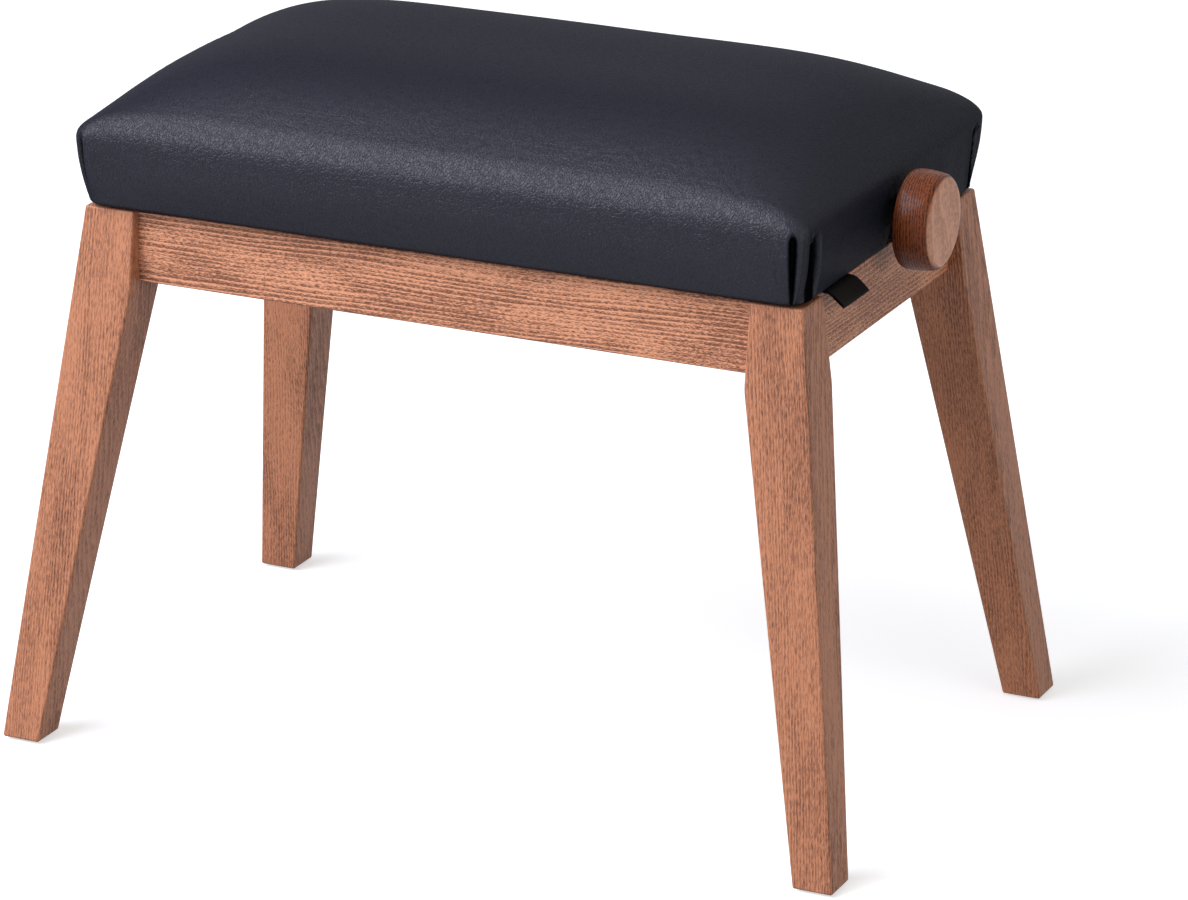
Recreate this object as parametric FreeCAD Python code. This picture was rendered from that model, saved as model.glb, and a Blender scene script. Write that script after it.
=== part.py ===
"""Height-adjustable piano bench, one STEP file per piece.

Four splayed legs and four aprons make the base. The padded seat is a wooden frame with a board let into
it, foam, wadding and a pulled-on leather cover. Between them stands a scissor lift: on each long side an
outer and an inner arm cross at a rivet. The left ends turn in fixed pivot blocks and the right ends slide in
channel tracks. A threaded spindle with a wooden knob at its right end draws the upper sliding ends inward,
which raises the seat.

Frame: millimetres, +Z up, +X along the bench towards its right end, +Y to the back.
The origin is on the floor under the middle of the bench. The seat is modelled at its lowest position.
"""

import FreeCAD, Part
import math
import os

from FreeCAD import Vector

# ---------------------------------------------------------------- driving dimensions, millimetres
# base frame
frame_length = 557.0          # over the outer faces of the leg tops
frame_depth = 311.0
leg_height = 400.0            # floor to leg top
leg_top_width = 39.5          # along X
leg_top_depth = 35.0          # along Y
foot_spread_x = 51.5          # how far the foot stands outside the leg top
foot_spread_y = 56.0
foot_size = 30.0
knee_below_apron = 7.0        # where the inner leg faces start to slope
knee_round = 60.0
leg_edge_round = 1.8
apron_height = 52.5
apron_thickness = 20.0
apron_recess = 6.0            # apron face behind the leg-top face
apron_drop = 1.0              # apron top below leg top
apron_edge_round = 1.5
glide_radius = 9.0
glide_thickness = 2.0
glide_edge_round = 0.6
glide_pin_radius = 1.5
glide_pin_length = 12.0
dowel_radius = 4.0
dowel_bite = 15.0             # depth in the leg, and in the apron
dowel_spacing = 26.0
block_thickness = 24.0
block_height = 34.0
block_leg_gap = 0.5
hanger_radius = 3.0
hanger_bite = 22.0
hanger_tail = 9.0
washer_radius = 8.0
washer_thickness = 1.5
hex_nut_radius = 5.5
hex_nut_thickness = 5.0

# seat
seat_gap = 3.0                # leg top to the seat frame, seat lowered
seat_inset_x = 2.5            # seat frame's ends inside the leg tops' outer faces
seat_proud_y = 0.5            # its long sides outside them
rail_thickness = 18.0
rail_height = 44.0
rail_corner_round = 10.0      # seat frame's upright corners
board_thickness = 12.0
rebate = 9.0
rail_screw_inset = 14.0
leather = 1.2
flap_width = 14.0             # leather turned under the frame
pad_low = 2.5                 # padding proud of the frame at its bottom edge
pad_side_x = 7.5              # and at the widest level
pad_side_y = 11.0
bulge_above_board = 3.0
crown_height = 61.0           # widest level to the crown
crown_reach_x = 283.0         # how far in from its ends the top keeps rising
crown_reach_y = 137.0         # and from its long sides
crown_fullness_x = 6.0        # how fast the rise slows down towards the middle
crown_fullness_y = 2.4
pad_corner_round = 12.0
crown_corner_growth = 0.2     # how fast the plan corners round off over the crown
side_levels = (0.0, 0.45, 0.8)            # shares of the height from the bottom edge to the bulge
crown_levels = (0.0, 0.25, 0.5, 0.72, 0.88, 0.97)    # shares of the crown's height
notch_half_width = 11.0       # arch in the right end rail that the spindle passes through
notch_above_axis = 9.0
notch_round = 0.75            # share of the half width
notch_lining = 0.5            # wadding set back behind the leather's cut edge
tag_width = 44.0
tag_drop = 18.0
tag_root = 9.0
tag_thickness = 0.9
tag_clearance = 0.5           # its bend stands outside the leather's edge
tag_lean = 52.0               # degrees out from vertical
tag_from_front = 40.5         # tag edge from the front of the seat frame
staple_crown = 9.0
staple_wire = 1.0
staple_leg = 5.0
staple_pitch = 52.0
staple_inset = 7.0

# lift mechanism
lift = 100.0                  # seat travel
pivot_from_leg = 89.0         # fixed pivots to the left legs' inner faces
slider_from_leg = 75.0        # sliding ends to the right legs' inner faces, seat lowered
arm_width = 22.0
arm_thickness = 4.0
arm_end_round = 0.98          # share of the half width
arm_gap = 1.0                 # washer gap between crossing arms
pivot_radius = 5.0
rivet_radius = 4.0
rivet_head_radius = 7.0
rivet_head = 2.2
track_height = 24.0
track_depth = 14.0
track_wall = 2.0
track_rise = 3.5              # lower track above the apron's bottom edge
track_left_margin = 22.0
track_right_margin = 20.0
block_length = 24.0           # pivot and slide blocks, along the track
track_pin_radius = 1.5
track_pin_setback = 2.0       # rivet tip inside the block's face
pin_end_gap = 0.5             # pin ends to the track's web
arm_track_gap = 0.5           # outer arm to the track's open edge
bar_end_gap = 0.3             # nut bar to the arms' inner faces
clip_wall = 3.0
clip_thickness = 1.2
clip_gap = 0.2
spindle_radius = 5.0
thread_radius = 6.0
thread_pitch = 3.0
thread_depth = 1.2
thread_crest = 0.37           # share of the pitch
thread_spare = 14.0           # thread past the nut at both ends of its travel
nut_bar_size = 22.0
nut_bar_round = 1.0
nut_radius = 9.0
nut_flange_radius = 10.5
nut_flange = 3.0
bracket_from_nut = 8.0        # bracket foot clear of the nut's flange
bracket_width = 46.0
bracket_foot = 20.0
bracket_wall = 3.0
bracket_corner_round = 4.0
bracket_below_bush = 2.0
bush_radius = 8.0
bush_flange_radius = 10.0
bush_flange = 1.5
bush_lip = 3.0                # bush inside the bracket's plate
collar_radius = 10.0
collar_length = 9.0
collar_gap = 0.3
collar_screw_radius = 2.0
spindle_tail = 4.0            # past the left collar
knob_radius = 35.4
knob_face_drop = 2.4          # radius lost from the widest circle to the outer face
knob_back_drop = 1.6          # radius lost from the widest circle to the back
knob_thickness = 33.0
knob_neck_radius = 14.0
knob_neck_length = 7.0
knob_widest_at = 13.5         # from the neck's end face
knob_seat_gap = 1.0
knob_face_round = 6.0
knob_back_round = 2.5
insert_radius = 8.0
insert_length = 20.0
screw_radius = 2.0
screw_head_radius = 3.8
screw_head = 2.2
screw_tip_radius = 0.4
screw_cap_share = 0.6         # radius of the head's top, share of the head's radius
screw_socket_share = 0.35     # radius of its socket, share of the same
screw_socket_depth = 0.6      # share of the head's height
track_screw_length = 14.0
track_screw_shares = (0.08, 0.5, 0.92)
bracket_screw_length = 10.0
rail_screw_length = 40.0
rail_screw_sink = 2.0         # screw head below the rail's face

# clearances
fit = 0.05                    # hinge pins and journals, on the radius
snug = 0.05                   # screws and dowels in their holes, on the radius
slide_fit = 0.2               # slide blocks in the tracks, each face
thread_fit = 0.1
soft_gap = 0.3                # leather to padding
past = 1.0                    # how far a cutting form runs past the face it opens
same = 0.01                   # places closer together than this are one place

# ---------------------------------------------------------------- derived levels and places
leg_in_x = frame_length / 2 - leg_top_width
leg_in_y = frame_depth / 2 - leg_top_depth
apron_top = leg_height - apron_drop
apron_bottom = apron_top - apron_height
apron_face_x = frame_length / 2 - apron_recess
apron_face_y = frame_depth / 2 - apron_recess
apron_back_x = apron_face_x - apron_thickness
apron_back_y = apron_face_y - apron_thickness
apron_mid_z = (apron_top + apron_bottom) / 2
knee_z = apron_bottom - knee_below_apron

rail_bottom = leg_height + seat_gap
rail_top = rail_bottom + rail_height
board_bottom = rail_top - board_thickness
cover_bottom = rail_bottom - leather
bulge_z = rail_top + bulge_above_board
half_seat_x = frame_length / 2 - seat_inset_x
half_seat_y = frame_depth / 2 + seat_proud_y

lower_axis_z = apron_bottom + track_rise + track_height / 2
spindle_z = board_bottom - track_height / 2
arm_rise = spindle_z - lower_axis_z
pivot_x = pivot_from_leg - leg_in_x
slider_x = leg_in_x - slider_from_leg
arm_length = math.hypot(slider_x - pivot_x, arm_rise)
rest_angle = math.degrees(math.asin(arm_rise / arm_length))
top_angle = math.degrees(math.asin((arm_rise + lift) / arm_length))
slider_x_raised = pivot_x + arm_length * math.cos(math.radians(top_angle))
centre_x = (pivot_x + slider_x) / 2
centre_z = (lower_axis_z + spindle_z) / 2

track_web_y = apron_back_y                      # outer face of both tracks' webs
track_tip_y = track_web_y - track_depth
outer_arm_y = track_tip_y - arm_track_gap        # outer face of the outer arm
inner_arm_y = outer_arm_y - arm_thickness - arm_gap
pin_tip_y = track_web_y - track_wall - pin_end_gap
track_x0 = pivot_x - track_left_margin
track_x1 = slider_x + track_right_margin
bracket_x = slider_x + nut_bar_size / 2 + nut_flange + bracket_from_nut + bracket_foot
knob_in_x = half_seat_x + pad_side_x + knob_seat_gap
SIDES = (("front", -1), ("rear", 1))
ENDS = (("left", -1), ("right", 1))
CORNERS = [(f"{s}_{e}", ex, sy) for s, sy in SIDES for e, ex in ENDS]


# ---------------------------------------------------------------- helpers
def box(x0, x1, y0, y1, z0, z1):
    lo = Vector(min(x0, x1), min(y0, y1), min(z0, z1))
    return Part.makeBox(abs(x1 - x0), abs(y1 - y0), abs(z1 - z0), lo)


def rod(radius, start, end):
    """Cylinder between two points."""
    a, b = Vector(*start), Vector(*end)
    return Part.makeCylinder(radius, (b - a).Length, a, b - a)


def outline(points, place):
    """Face bounded by straight runs. A point is (u, v) or (u, v, r), where r rounds it with an arc."""
    flat = [Vector(p[0], p[1], 0) for p in points]
    ends = []
    for i, p in enumerate(points):
        here = flat[i]
        radius = p[2] if len(p) > 2 else 0
        if not radius:
            ends.append((here, None, here))
            continue
        back = (flat[i - 1] - here).normalize()
        ahead = (flat[(i + 1) % len(flat)] - here).normalize()
        half = back.getAngle(ahead) / 2
        reach = radius / math.tan(half)
        bisector = (back + ahead).normalize()
        middle = here + bisector * (radius / math.sin(half) - radius)
        ends.append((here + back * reach, middle, here + ahead * reach))
    edges = []
    for i, (enter, middle, leave) in enumerate(ends):
        if middle is not None:
            edges.append(Part.Arc(place(enter), place(middle), place(leave)).toShape())
        following = ends[(i + 1) % len(ends)][0]
        edges.append(Part.LineSegment(place(leave), place(following)).toShape())
    return Part.Face(Part.Wire(edges))


def xz(y):
    return lambda p: Vector(p.x, y, p.y)


def yz(x):
    return lambda p: Vector(x, p.x, p.y)


def xy(z):
    return lambda p: Vector(p.x, p.y, z)


def at_side(shape, sx=1, sy=1):
    """Mirror a piece drawn at +X, +Y to another end or side."""
    if sx < 0:
        shape = shape.mirror(Vector(0, 0, 0), Vector(1, 0, 0))
    if sy < 0:
        shape = shape.mirror(Vector(0, 0, 0), Vector(0, 1, 0))
    return shape


def group(solids):
    return Part.makeCompound(solids)


def hollow(outer, inner):
    """Solid between two closed forms, one wholly inside the other."""
    return Part.makeSolid(Part.Compound([outer.Shells[0], inner.Shells[0].reversed()]))


def edges_along(shape, direction, tolerance=0.15):
    """Straight edges that run within a tolerance of a direction."""
    found = []
    for edge in shape.Edges:
        run = edge.Vertexes[-1].Point - edge.Vertexes[0].Point
        if run.Length > 1 and abs(run.normalize().dot(direction)) > 1 - tolerance:
            found.append(edge)
    return found


def screw(head_at, direction, length, radius=screw_radius, head_radius=screw_head_radius, head=screw_head):
    """Pan-head screw. head_at is the middle of the head's underside, direction points into the work."""
    d = Vector(*direction).normalize()
    p = Vector(*head_at)
    tip = 2 * radius
    shank = Part.makeCylinder(radius, length - tip, p, d)
    point = Part.makeCone(radius, screw_tip_radius, tip, p + d * (length - tip), d)
    cap = Part.makeCone(head_radius, screw_cap_share * head_radius, head, p, d * -1)
    socket = Part.makeCylinder(screw_socket_share * head_radius, screw_socket_depth * head, p - d * head, d)
    return cap.fuse([shank, point]).removeSplitter().cut(socket)


def screw_hole(head_at, direction, length, radius=screw_radius):
    """Hole for a screw, also cutting the sheet under its head."""
    d = Vector(*direction).normalize()
    return Part.makeCylinder(radius + snug, length + snug, Vector(*head_at), d)


# ---------------------------------------------------------------- base frame
def dowel_rods(radius, spare=0.0):
    """The dowels of the +X, +Y corner: two into each apron end."""
    rods = []
    reach = dowel_bite + spare
    mid_y = (apron_face_y + apron_back_y) / 2
    mid_x = (apron_face_x + apron_back_x) / 2
    for z in (apron_mid_z - dowel_spacing / 2, apron_mid_z + dowel_spacing / 2):
        rods.append(rod(radius, (leg_in_x - reach, mid_y, z), (leg_in_x + reach, mid_y, z)))
        rods.append(rod(radius, (mid_x, leg_in_y - reach, z), (mid_x, leg_in_y + reach, z)))
    return rods


def hanger_line(distance):
    """Point on the +X, +Y corner's bolt axis, a distance inward from the leg's inner corner."""
    step = distance / math.sqrt(2)
    return (leg_in_x - step, leg_in_y - step, apron_mid_z)


def corner_block():
    """Glued block across the +X, +Y corner, clear of the leg's inner corner."""
    near = (apron_back_x - leg_in_x) + (apron_back_y - leg_in_y) + block_leg_gap * math.sqrt(2)
    far = near + block_thickness * math.sqrt(2)
    z0 = apron_mid_z - block_height / 2
    points = [
        (apron_back_x - near, apron_back_y),
        (apron_back_x - far, apron_back_y),
        (apron_back_x, apron_back_y - far),
        (apron_back_x, apron_back_y - near),
    ]
    block = outline(points, xy(z0)).extrude(Vector(0, 0, block_height))
    end = hanger_line(block_leg_gap + block_thickness + past)
    hole = rod(hanger_radius + snug, hanger_line(-hanger_bite), end)
    return block.cut(hole)


def hanger_bolt():
    end = hanger_line(block_leg_gap + block_thickness + hanger_tail)
    return rod(hanger_radius, hanger_line(-hanger_bite), end)


def hanger_washer():
    start = block_leg_gap + block_thickness
    ring = rod(washer_radius, hanger_line(start), hanger_line(start + washer_thickness))
    hole = rod(hanger_radius + snug, hanger_line(start - past), hanger_line(start + washer_thickness + past))
    return ring.cut(hole)


def hanger_nut():
    start = block_leg_gap + block_thickness + washer_thickness
    inward = Vector(-1, -1, 0).normalize()
    centre = Vector(*hanger_line(start))
    side = Vector(0, 0, 1).cross(inward)
    corners = []
    for i in range(7):
        a = math.radians(360 / 6 * i)
        lift_z = Vector(0, 0, hex_nut_radius * math.sin(a))
        corners.append(centre + side * (hex_nut_radius * math.cos(a)) + lift_z)
    body = Part.Face(Part.makePolygon(corners)).extrude(inward * hex_nut_thickness)
    hole = rod(hanger_radius + snug, hanger_line(start - past), hanger_line(start + hex_nut_thickness + past))
    return body.cut(hole)


def leg_profile(top_in, top_out, spread):
    """Leg outline in one plane: upright inside down to the knee, then sloping out to the foot."""
    foot_out = top_out + spread
    return [
        (top_in, leg_height),
        (top_out, leg_height),
        (foot_out, glide_thickness),
        (foot_out - foot_size, glide_thickness),
        (top_in, knee_z, knee_round),
    ]


def foot_centre():
    """Middle of the +X, +Y foot."""
    return (
        frame_length / 2 + foot_spread_x - foot_size / 2,
        frame_depth / 2 + foot_spread_y - foot_size / 2,
    )


def leg():
    """The +X, +Y leg, with its dowel, bolt and glide holes."""
    far = frame_length
    along_x = leg_profile(leg_in_x, frame_length / 2, foot_spread_x)
    along_y = leg_profile(leg_in_y, frame_depth / 2, foot_spread_y)
    body = outline(along_x, xz(0)).extrude(Vector(0, far, 0))
    body = body.common(outline(along_y, yz(0)).extrude(Vector(far, 0, 0)))
    body = body.makeFillet(leg_edge_round, body.Edges)
    x, y = foot_centre()
    holes = dowel_rods(dowel_radius + snug, spare=snug)
    holes.append(rod(hanger_radius + snug, hanger_line(-hanger_bite - snug), hanger_line(past)))
    pin_top = glide_thickness + glide_pin_length + snug
    holes.append(rod(glide_pin_radius + snug, (x, y, 0), (x, y, pin_top)))
    return body.cut(holes)


def glide():
    x, y = foot_centre()
    pad = rod(glide_radius, (x, y, 0), (x, y, glide_thickness))
    pad = pad.makeFillet(glide_edge_round, [e for e in pad.Edges if e.BoundBox.ZMax < same])
    pin = rod(glide_pin_radius, (x, y, glide_thickness / 2), (x, y, glide_thickness + glide_pin_length))
    return pad.fuse(pin).removeSplitter()


def track_screw_places():
    """Where the track screws stand along X: clear of the pivot block and of the slide block's travel."""
    start = pivot_x + block_length
    stop = slider_x_raised - block_length
    return [start + (stop - start) * share for share in track_screw_shares]


def lower_track_screws(maker):
    web_face = track_web_y - track_wall
    return [maker((x, web_face, lower_axis_z), (0, 1, 0), track_screw_length) for x in track_screw_places()]


def long_apron():
    body = box(-leg_in_x, leg_in_x, apron_back_y, apron_face_y, apron_bottom, apron_top)
    body = body.makeFillet(apron_edge_round, edges_along(body, Vector(1, 0, 0)))
    holes = dowel_rods(dowel_radius + snug, spare=snug)
    holes += [at_side(hole, sx=-1) for hole in holes]
    return body.cut(holes + lower_track_screws(screw_hole))


def end_apron():
    body = box(apron_back_x, apron_face_x, -leg_in_y, leg_in_y, apron_bottom, apron_top)
    body = body.makeFillet(apron_edge_round, edges_along(body, Vector(0, 1, 0)))
    holes = dowel_rods(dowel_radius + snug, spare=snug)
    holes += [at_side(hole, sy=-1) for hole in holes]
    return body.cut(holes)


def base_pieces():
    pieces = {}
    for name, sx, sy in CORNERS:
        pieces[f"leg_{name}"] = at_side(leg(), sx, sy)
        pieces[f"corner_block_{name}"] = at_side(corner_block(), sx, sy)
    for name, sy in SIDES:
        pieces[f"apron_{name}"] = at_side(long_apron(), sy=sy)
    for name, sx in ENDS:
        pieces[f"apron_{name}"] = at_side(end_apron(), sx=sx)
    fours = {
        "apron_dowels": dowel_rods(dowel_radius),
        "hanger_bolts": [hanger_bolt()],
        "hanger_washers": [hanger_washer()],
        "hanger_nuts": [hanger_nut()],
        "foot_glides": [glide()],
    }
    for name, solids in fours.items():
        pieces[name] = group([at_side(solid, sx, sy) for _, sx, sy in CORNERS for solid in solids])
    return pieces


# ---------------------------------------------------------------- scissor lift
def channel(z_axis):
    """Channel track on the +Y side, open towards the arms."""
    z0, z1 = z_axis - track_height / 2, z_axis + track_height / 2
    outer = box(track_x0, track_x1, track_tip_y, track_web_y, z0, z1)
    inside = box(track_x0, track_x1, track_tip_y, track_web_y - track_wall, z0 + track_wall, z1 - track_wall)
    return outer.cut(inside).cut(track_pins(z_axis, snug))


def track_pins(z_axis, spare=0.0):
    """Two rivets that hold a pivot block to its track."""
    offset = block_length / 2 - 2 * track_pin_radius
    start = track_tip_y + track_pin_setback
    return [
        rod(track_pin_radius + spare, (x, start, z_axis), (x, track_web_y, z_axis))
        for x in (pivot_x - offset, pivot_x + offset)
    ]


def slide_block(z_axis):
    """Nylon block pressed on a shaft's end, free to slide in its track."""
    half = track_height / 2 - track_wall - slide_fit
    x0, x1 = slider_x - block_length / 2, slider_x + block_length / 2
    body = box(x0, x1, track_tip_y, pin_tip_y, z_axis - half, z_axis + half)
    bore = rod(pivot_radius + snug, (slider_x, track_tip_y - past, z_axis), (slider_x, track_web_y, z_axis))
    return body.cut(bore)


def pivot_block(z_axis):
    """Nylon bearing riveted into the track's left end; it also fills the last gap to the web."""
    half = track_height / 2 - track_wall
    x0, x1 = pivot_x - block_length / 2, pivot_x + block_length / 2
    body = box(x0, x1, track_tip_y, track_web_y - track_wall, z_axis - half, z_axis + half)
    bore = rod(pivot_radius + fit, (pivot_x, track_tip_y - past, z_axis), (pivot_x, pin_tip_y + fit, z_axis))
    return body.cut([bore] + track_pins(z_axis, snug))


def arm(y_outer, start, end, end_bores, rivet_bore):
    """Flat bar with round ends between two pivots; its outer face is at y_outer."""
    z_flat = start[1]
    x0, x1 = start[0], start[0] + arm_length
    half = arm_width / 2
    bend = arm_end_round * half
    points = [
        (x0 - half, z_flat - half, bend),
        (x1 + half, z_flat - half, bend),
        (x1 + half, z_flat + half, bend),
        (x0 - half, z_flat + half, bend),
    ]
    thickness = Vector(0, arm_thickness, 0)
    bar = outline(points, xz(y_outer - arm_thickness)).extrude(thickness)
    centres = [(x0, end_bores[0]), (x1, end_bores[1]), ((x0 + x1) / 2, rivet_bore)]
    for x, radius in centres:
        near, far = (x, y_outer - 2 * arm_thickness, z_flat), (x, y_outer + arm_thickness, z_flat)
        bar = bar.cut(rod(radius, near, far))
    slope = math.degrees(math.atan2(end[1] - start[1], end[0] - start[0]))
    bar.rotate(Vector(start[0], 0, start[1]), Vector(0, -1, 0), slope)
    return bar


def outer_arm():
    """Lower left fixed pivot to upper right sliding end."""
    return arm(
        outer_arm_y,
        (pivot_x, lower_axis_z),
        (slider_x, spindle_z),
        (pivot_radius + snug, pivot_radius + fit),
        rivet_radius + snug,
    )


def inner_arm():
    """Upper left fixed pivot to lower right sliding end."""
    return arm(
        inner_arm_y,
        (pivot_x, spindle_z),
        (slider_x, lower_axis_z),
        (pivot_radius + snug, pivot_radius + fit),
        rivet_radius + fit,
    )


def centre_rivet():
    """Rivet through both arms, with a washer's thickness of shoulder between them."""
    y0 = inner_arm_y - arm_thickness - fit
    y1 = outer_arm_y + fit
    shank = rod(rivet_radius, (centre_x, y0 - rivet_head, centre_z), (centre_x, y1 + rivet_head, centre_z))
    heads = [
        rod(rivet_head_radius, (centre_x, y0 - rivet_head, centre_z), (centre_x, y0, centre_z)),
        rod(rivet_head_radius, (centre_x, y1, centre_z), (centre_x, y1 + rivet_head, centre_z)),
    ]
    y2, y3 = inner_arm_y + fit, inner_arm_y + arm_gap - fit
    shoulder = rod(rivet_head_radius, (centre_x, y2, centre_z), (centre_x, y3, centre_z))
    return shank.fuse(heads + [shoulder]).removeSplitter()


def upper_pivot_pin():
    """Headed stub through the inner arm into the seat's pivot block."""
    y0 = inner_arm_y - arm_thickness
    stub = rod(pivot_radius, (pivot_x, y0 - rivet_head, spindle_z), (pivot_x, pin_tip_y, spindle_z))
    head = rod(rivet_head_radius, (pivot_x, y0 - rivet_head, spindle_z), (pivot_x, y0, spindle_z))
    return stub.fuse(head).removeSplitter()


def cross_shaft(x):
    return rod(pivot_radius, (x, -pin_tip_y, lower_axis_z), (x, pin_tip_y, lower_axis_z))


def shaft_clip(x):
    """Retaining ring on the cross shaft, just inside the inner arm."""
    y1 = inner_arm_y - arm_thickness - clip_gap
    y0 = y1 - clip_thickness
    ring = rod(pivot_radius + clip_wall, (x, y0, lower_axis_z), (x, y1, lower_axis_z))
    return ring.cut(rod(pivot_radius + snug, (x, y0 - past, lower_axis_z), (x, y1 + past, lower_axis_z)))


def nut_bar():
    """Bar across the bench: its journals turn in the outer arms and carry the upper slide blocks."""
    half = nut_bar_size / 2
    reach = outer_arm_y - arm_thickness - bar_end_gap
    body = box(slider_x - half, slider_x + half, -reach, reach, spindle_z - half, spindle_z + half)
    body = body.makeFillet(nut_bar_round, edges_along(body, Vector(0, 1, 0)))
    body = body.fuse(rod(pivot_radius, (slider_x, -pin_tip_y, spindle_z), (slider_x, pin_tip_y, spindle_z)))
    return body.removeSplitter().cut(nut_hole())


def nut_hole():
    reach = nut_bar_size / 2 + past
    return rod(nut_radius + snug, (slider_x - reach, 0, spindle_z), (slider_x + reach, 0, spindle_z))


def spindle_nut():
    """Flanged bronze nut pressed through the bar."""
    half = nut_bar_size / 2
    body = rod(nut_radius, (slider_x - half, 0, spindle_z), (slider_x + half + nut_flange, 0, spindle_z))
    flange = rod(
        nut_flange_radius, (slider_x + half, 0, spindle_z), (slider_x + half + nut_flange, 0, spindle_z)
    )
    x0, x1 = slider_x - 2 * half, slider_x + 2 * half
    bore = rod(thread_radius + thread_fit, (x0, 0, spindle_z), (x1, 0, spindle_z))
    return body.fuse(flange).removeSplitter().cut(bore)


def lift_pieces():
    pieces = {}
    for name, sy in SIDES:
        track = channel(lower_axis_z).cut(lower_track_screws(screw_hole))
        pieces[f"lower_track_{name}"] = at_side(track, sy=sy)
        pieces[f"outer_arm_{name}"] = at_side(outer_arm(), sy=sy)
        pieces[f"inner_arm_{name}"] = at_side(inner_arm(), sy=sy)
    twins = {
        "lower_pivot_blocks": [pivot_block(lower_axis_z)],
        "upper_pivot_blocks": [pivot_block(spindle_z)],
        "lower_slide_blocks": [slide_block(lower_axis_z)],
        "upper_slide_blocks": [slide_block(spindle_z)],
        "lower_track_screws": lower_track_screws(screw),
        "lower_track_rivets": track_pins(lower_axis_z),
        "upper_track_rivets": track_pins(spindle_z),
        "centre_rivets": [centre_rivet()],
        "upper_pivot_pins": [upper_pivot_pin()],
        "slide_shaft_clips": [shaft_clip(slider_x)],
    }
    for name, solids in twins.items():
        pieces[name] = group([at_side(solid, sy=sy) for _, sy in SIDES for solid in solids])
    pieces["lower_pivot_shaft"] = cross_shaft(pivot_x)
    pieces["lower_slide_shaft"] = cross_shaft(slider_x)
    pieces["nut_bar"] = nut_bar()
    pieces["spindle_nut"] = spindle_nut()
    return pieces


# ---------------------------------------------------------------- spindle and knob
def spindle():
    """Rod from the left bush out to the knob: plain journals and a run of trapezoidal thread, cut as rings."""
    left_end, right_end = -collar_span()[1] - spindle_tail, knob_in_x + insert_length
    body = rod(spindle_radius, (left_end, 0, spindle_z), (right_end, 0, spindle_z))
    x0 = slider_x_raised - nut_bar_size / 2 - thread_spare
    x1 = slider_x + nut_bar_size / 2 + thread_spare
    turns = int((x1 - x0) / thread_pitch)
    root = thread_radius - thread_depth
    crest = thread_pitch * thread_crest
    flank = thread_pitch * (0.5 - thread_crest)
    points = [Vector(x0, 0, spindle_z), Vector(x0, 0, spindle_z + thread_radius)]
    for i in range(turns):
        start = x0 + i * thread_pitch
        for along, radius in (
            (crest, thread_radius),
            (crest + flank, root),
            (2 * crest + flank, root),
            (thread_pitch, thread_radius),
        ):
            points.append(Vector(start + along, 0, spindle_z + radius))
    points.append(Vector(points[-1].x, 0, spindle_z))
    ridge = Part.Face(Part.makePolygon(points + [points[0]]))
    thread = ridge.revolve(Vector(0, 0, spindle_z), Vector(1, 0, 0), 360)
    return body.fuse(thread).removeSplitter()


def knob():
    """Turned wooden knob at the +X end: a neck, then a barrel with rounded rims and a flat outer face."""
    x0, x1 = knob_in_x, knob_in_x + knob_thickness
    back = x0 + knob_neck_length
    widest = x0 + knob_widest_at

    def swell(x, drop):
        """Arc that meets the widest circle squarely and loses drop of its radius by x."""
        radius, run = knob_radius - drop, abs(x - widest)
        bend = (run * run + drop * drop) / (2 * drop)
        half = math.asin(run / bend) / 2 * (1 if x > widest else -1)
        through = (widest + bend * math.sin(half), knob_radius - bend + bend * math.cos(half))
        return Part.Arc(at(widest, knob_radius), at(*through), at(x, radius)).toShape()

    def at(x, radius):
        return Vector(x, 0, spindle_z + radius)

    edges = [
        Part.LineSegment(at(x0, 0), at(x0, knob_neck_radius)).toShape(),
        Part.LineSegment(at(x0, knob_neck_radius), at(back, knob_neck_radius)).toShape(),
        Part.LineSegment(at(back, knob_neck_radius), at(back, knob_radius - knob_back_drop)).toShape(),
        swell(back, knob_back_drop),
        swell(x1, knob_face_drop),
        Part.LineSegment(at(x1, knob_radius - knob_face_drop), at(x1, 0)).toShape(),
        Part.LineSegment(at(x1, 0), at(x0, 0)).toShape(),
    ]
    face = Part.Face(Part.Wire(Part.__sortEdges__(edges)))
    body = face.revolve(Vector(0, 0, spindle_z), Vector(1, 0, 0), 360)
    for x, bend in ((x1, knob_face_round), (back, knob_back_round)):
        body = body.makeFillet(bend, [outer_ring(body, x)])
    socket_end = x0 + insert_length + snug
    return body.cut(rod(insert_radius + snug, (x0 - past, 0, spindle_z), (socket_end, 0, spindle_z)))


def outer_ring(body, x):
    """The widest of the body's round edges that lie flat at x."""
    rings = [e for e in body.Edges if e.BoundBox.XLength < same and abs(e.BoundBox.XMin - x) < same]
    return max(rings, key=lambda e: e.BoundBox.ZLength)


def knob_insert():
    """Threaded metal sleeve that fixes the knob on the spindle's end."""
    x0, x1 = knob_in_x, knob_in_x + insert_length
    body = rod(insert_radius, (x0, 0, spindle_z), (x1, 0, spindle_z))
    return body.cut(rod(spindle_radius + snug, (x0 - past, 0, spindle_z), (x1 + past, 0, spindle_z)))


def collar_span():
    """The +X collar stands outside its bush."""
    start = bracket_x + bracket_wall + bush_flange + collar_gap
    return start, start + collar_length


def collar():
    x0, x1 = collar_span()
    body = rod(collar_radius, (x0, 0, spindle_z), (x1, 0, spindle_z))
    bore = rod(spindle_radius + snug, (x0 - past, 0, spindle_z), (x1 + past, 0, spindle_z))
    return body.cut([bore, collar_screw(snug)])


def collar_screw(spare=0.0):
    x0, x1 = collar_span()
    mid = (x0 + x1) / 2
    bottom = spindle_z - collar_radius
    return rod(collar_screw_radius + spare, (mid, 0, bottom), (mid, 0, spindle_z - spindle_radius - snug))


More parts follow.
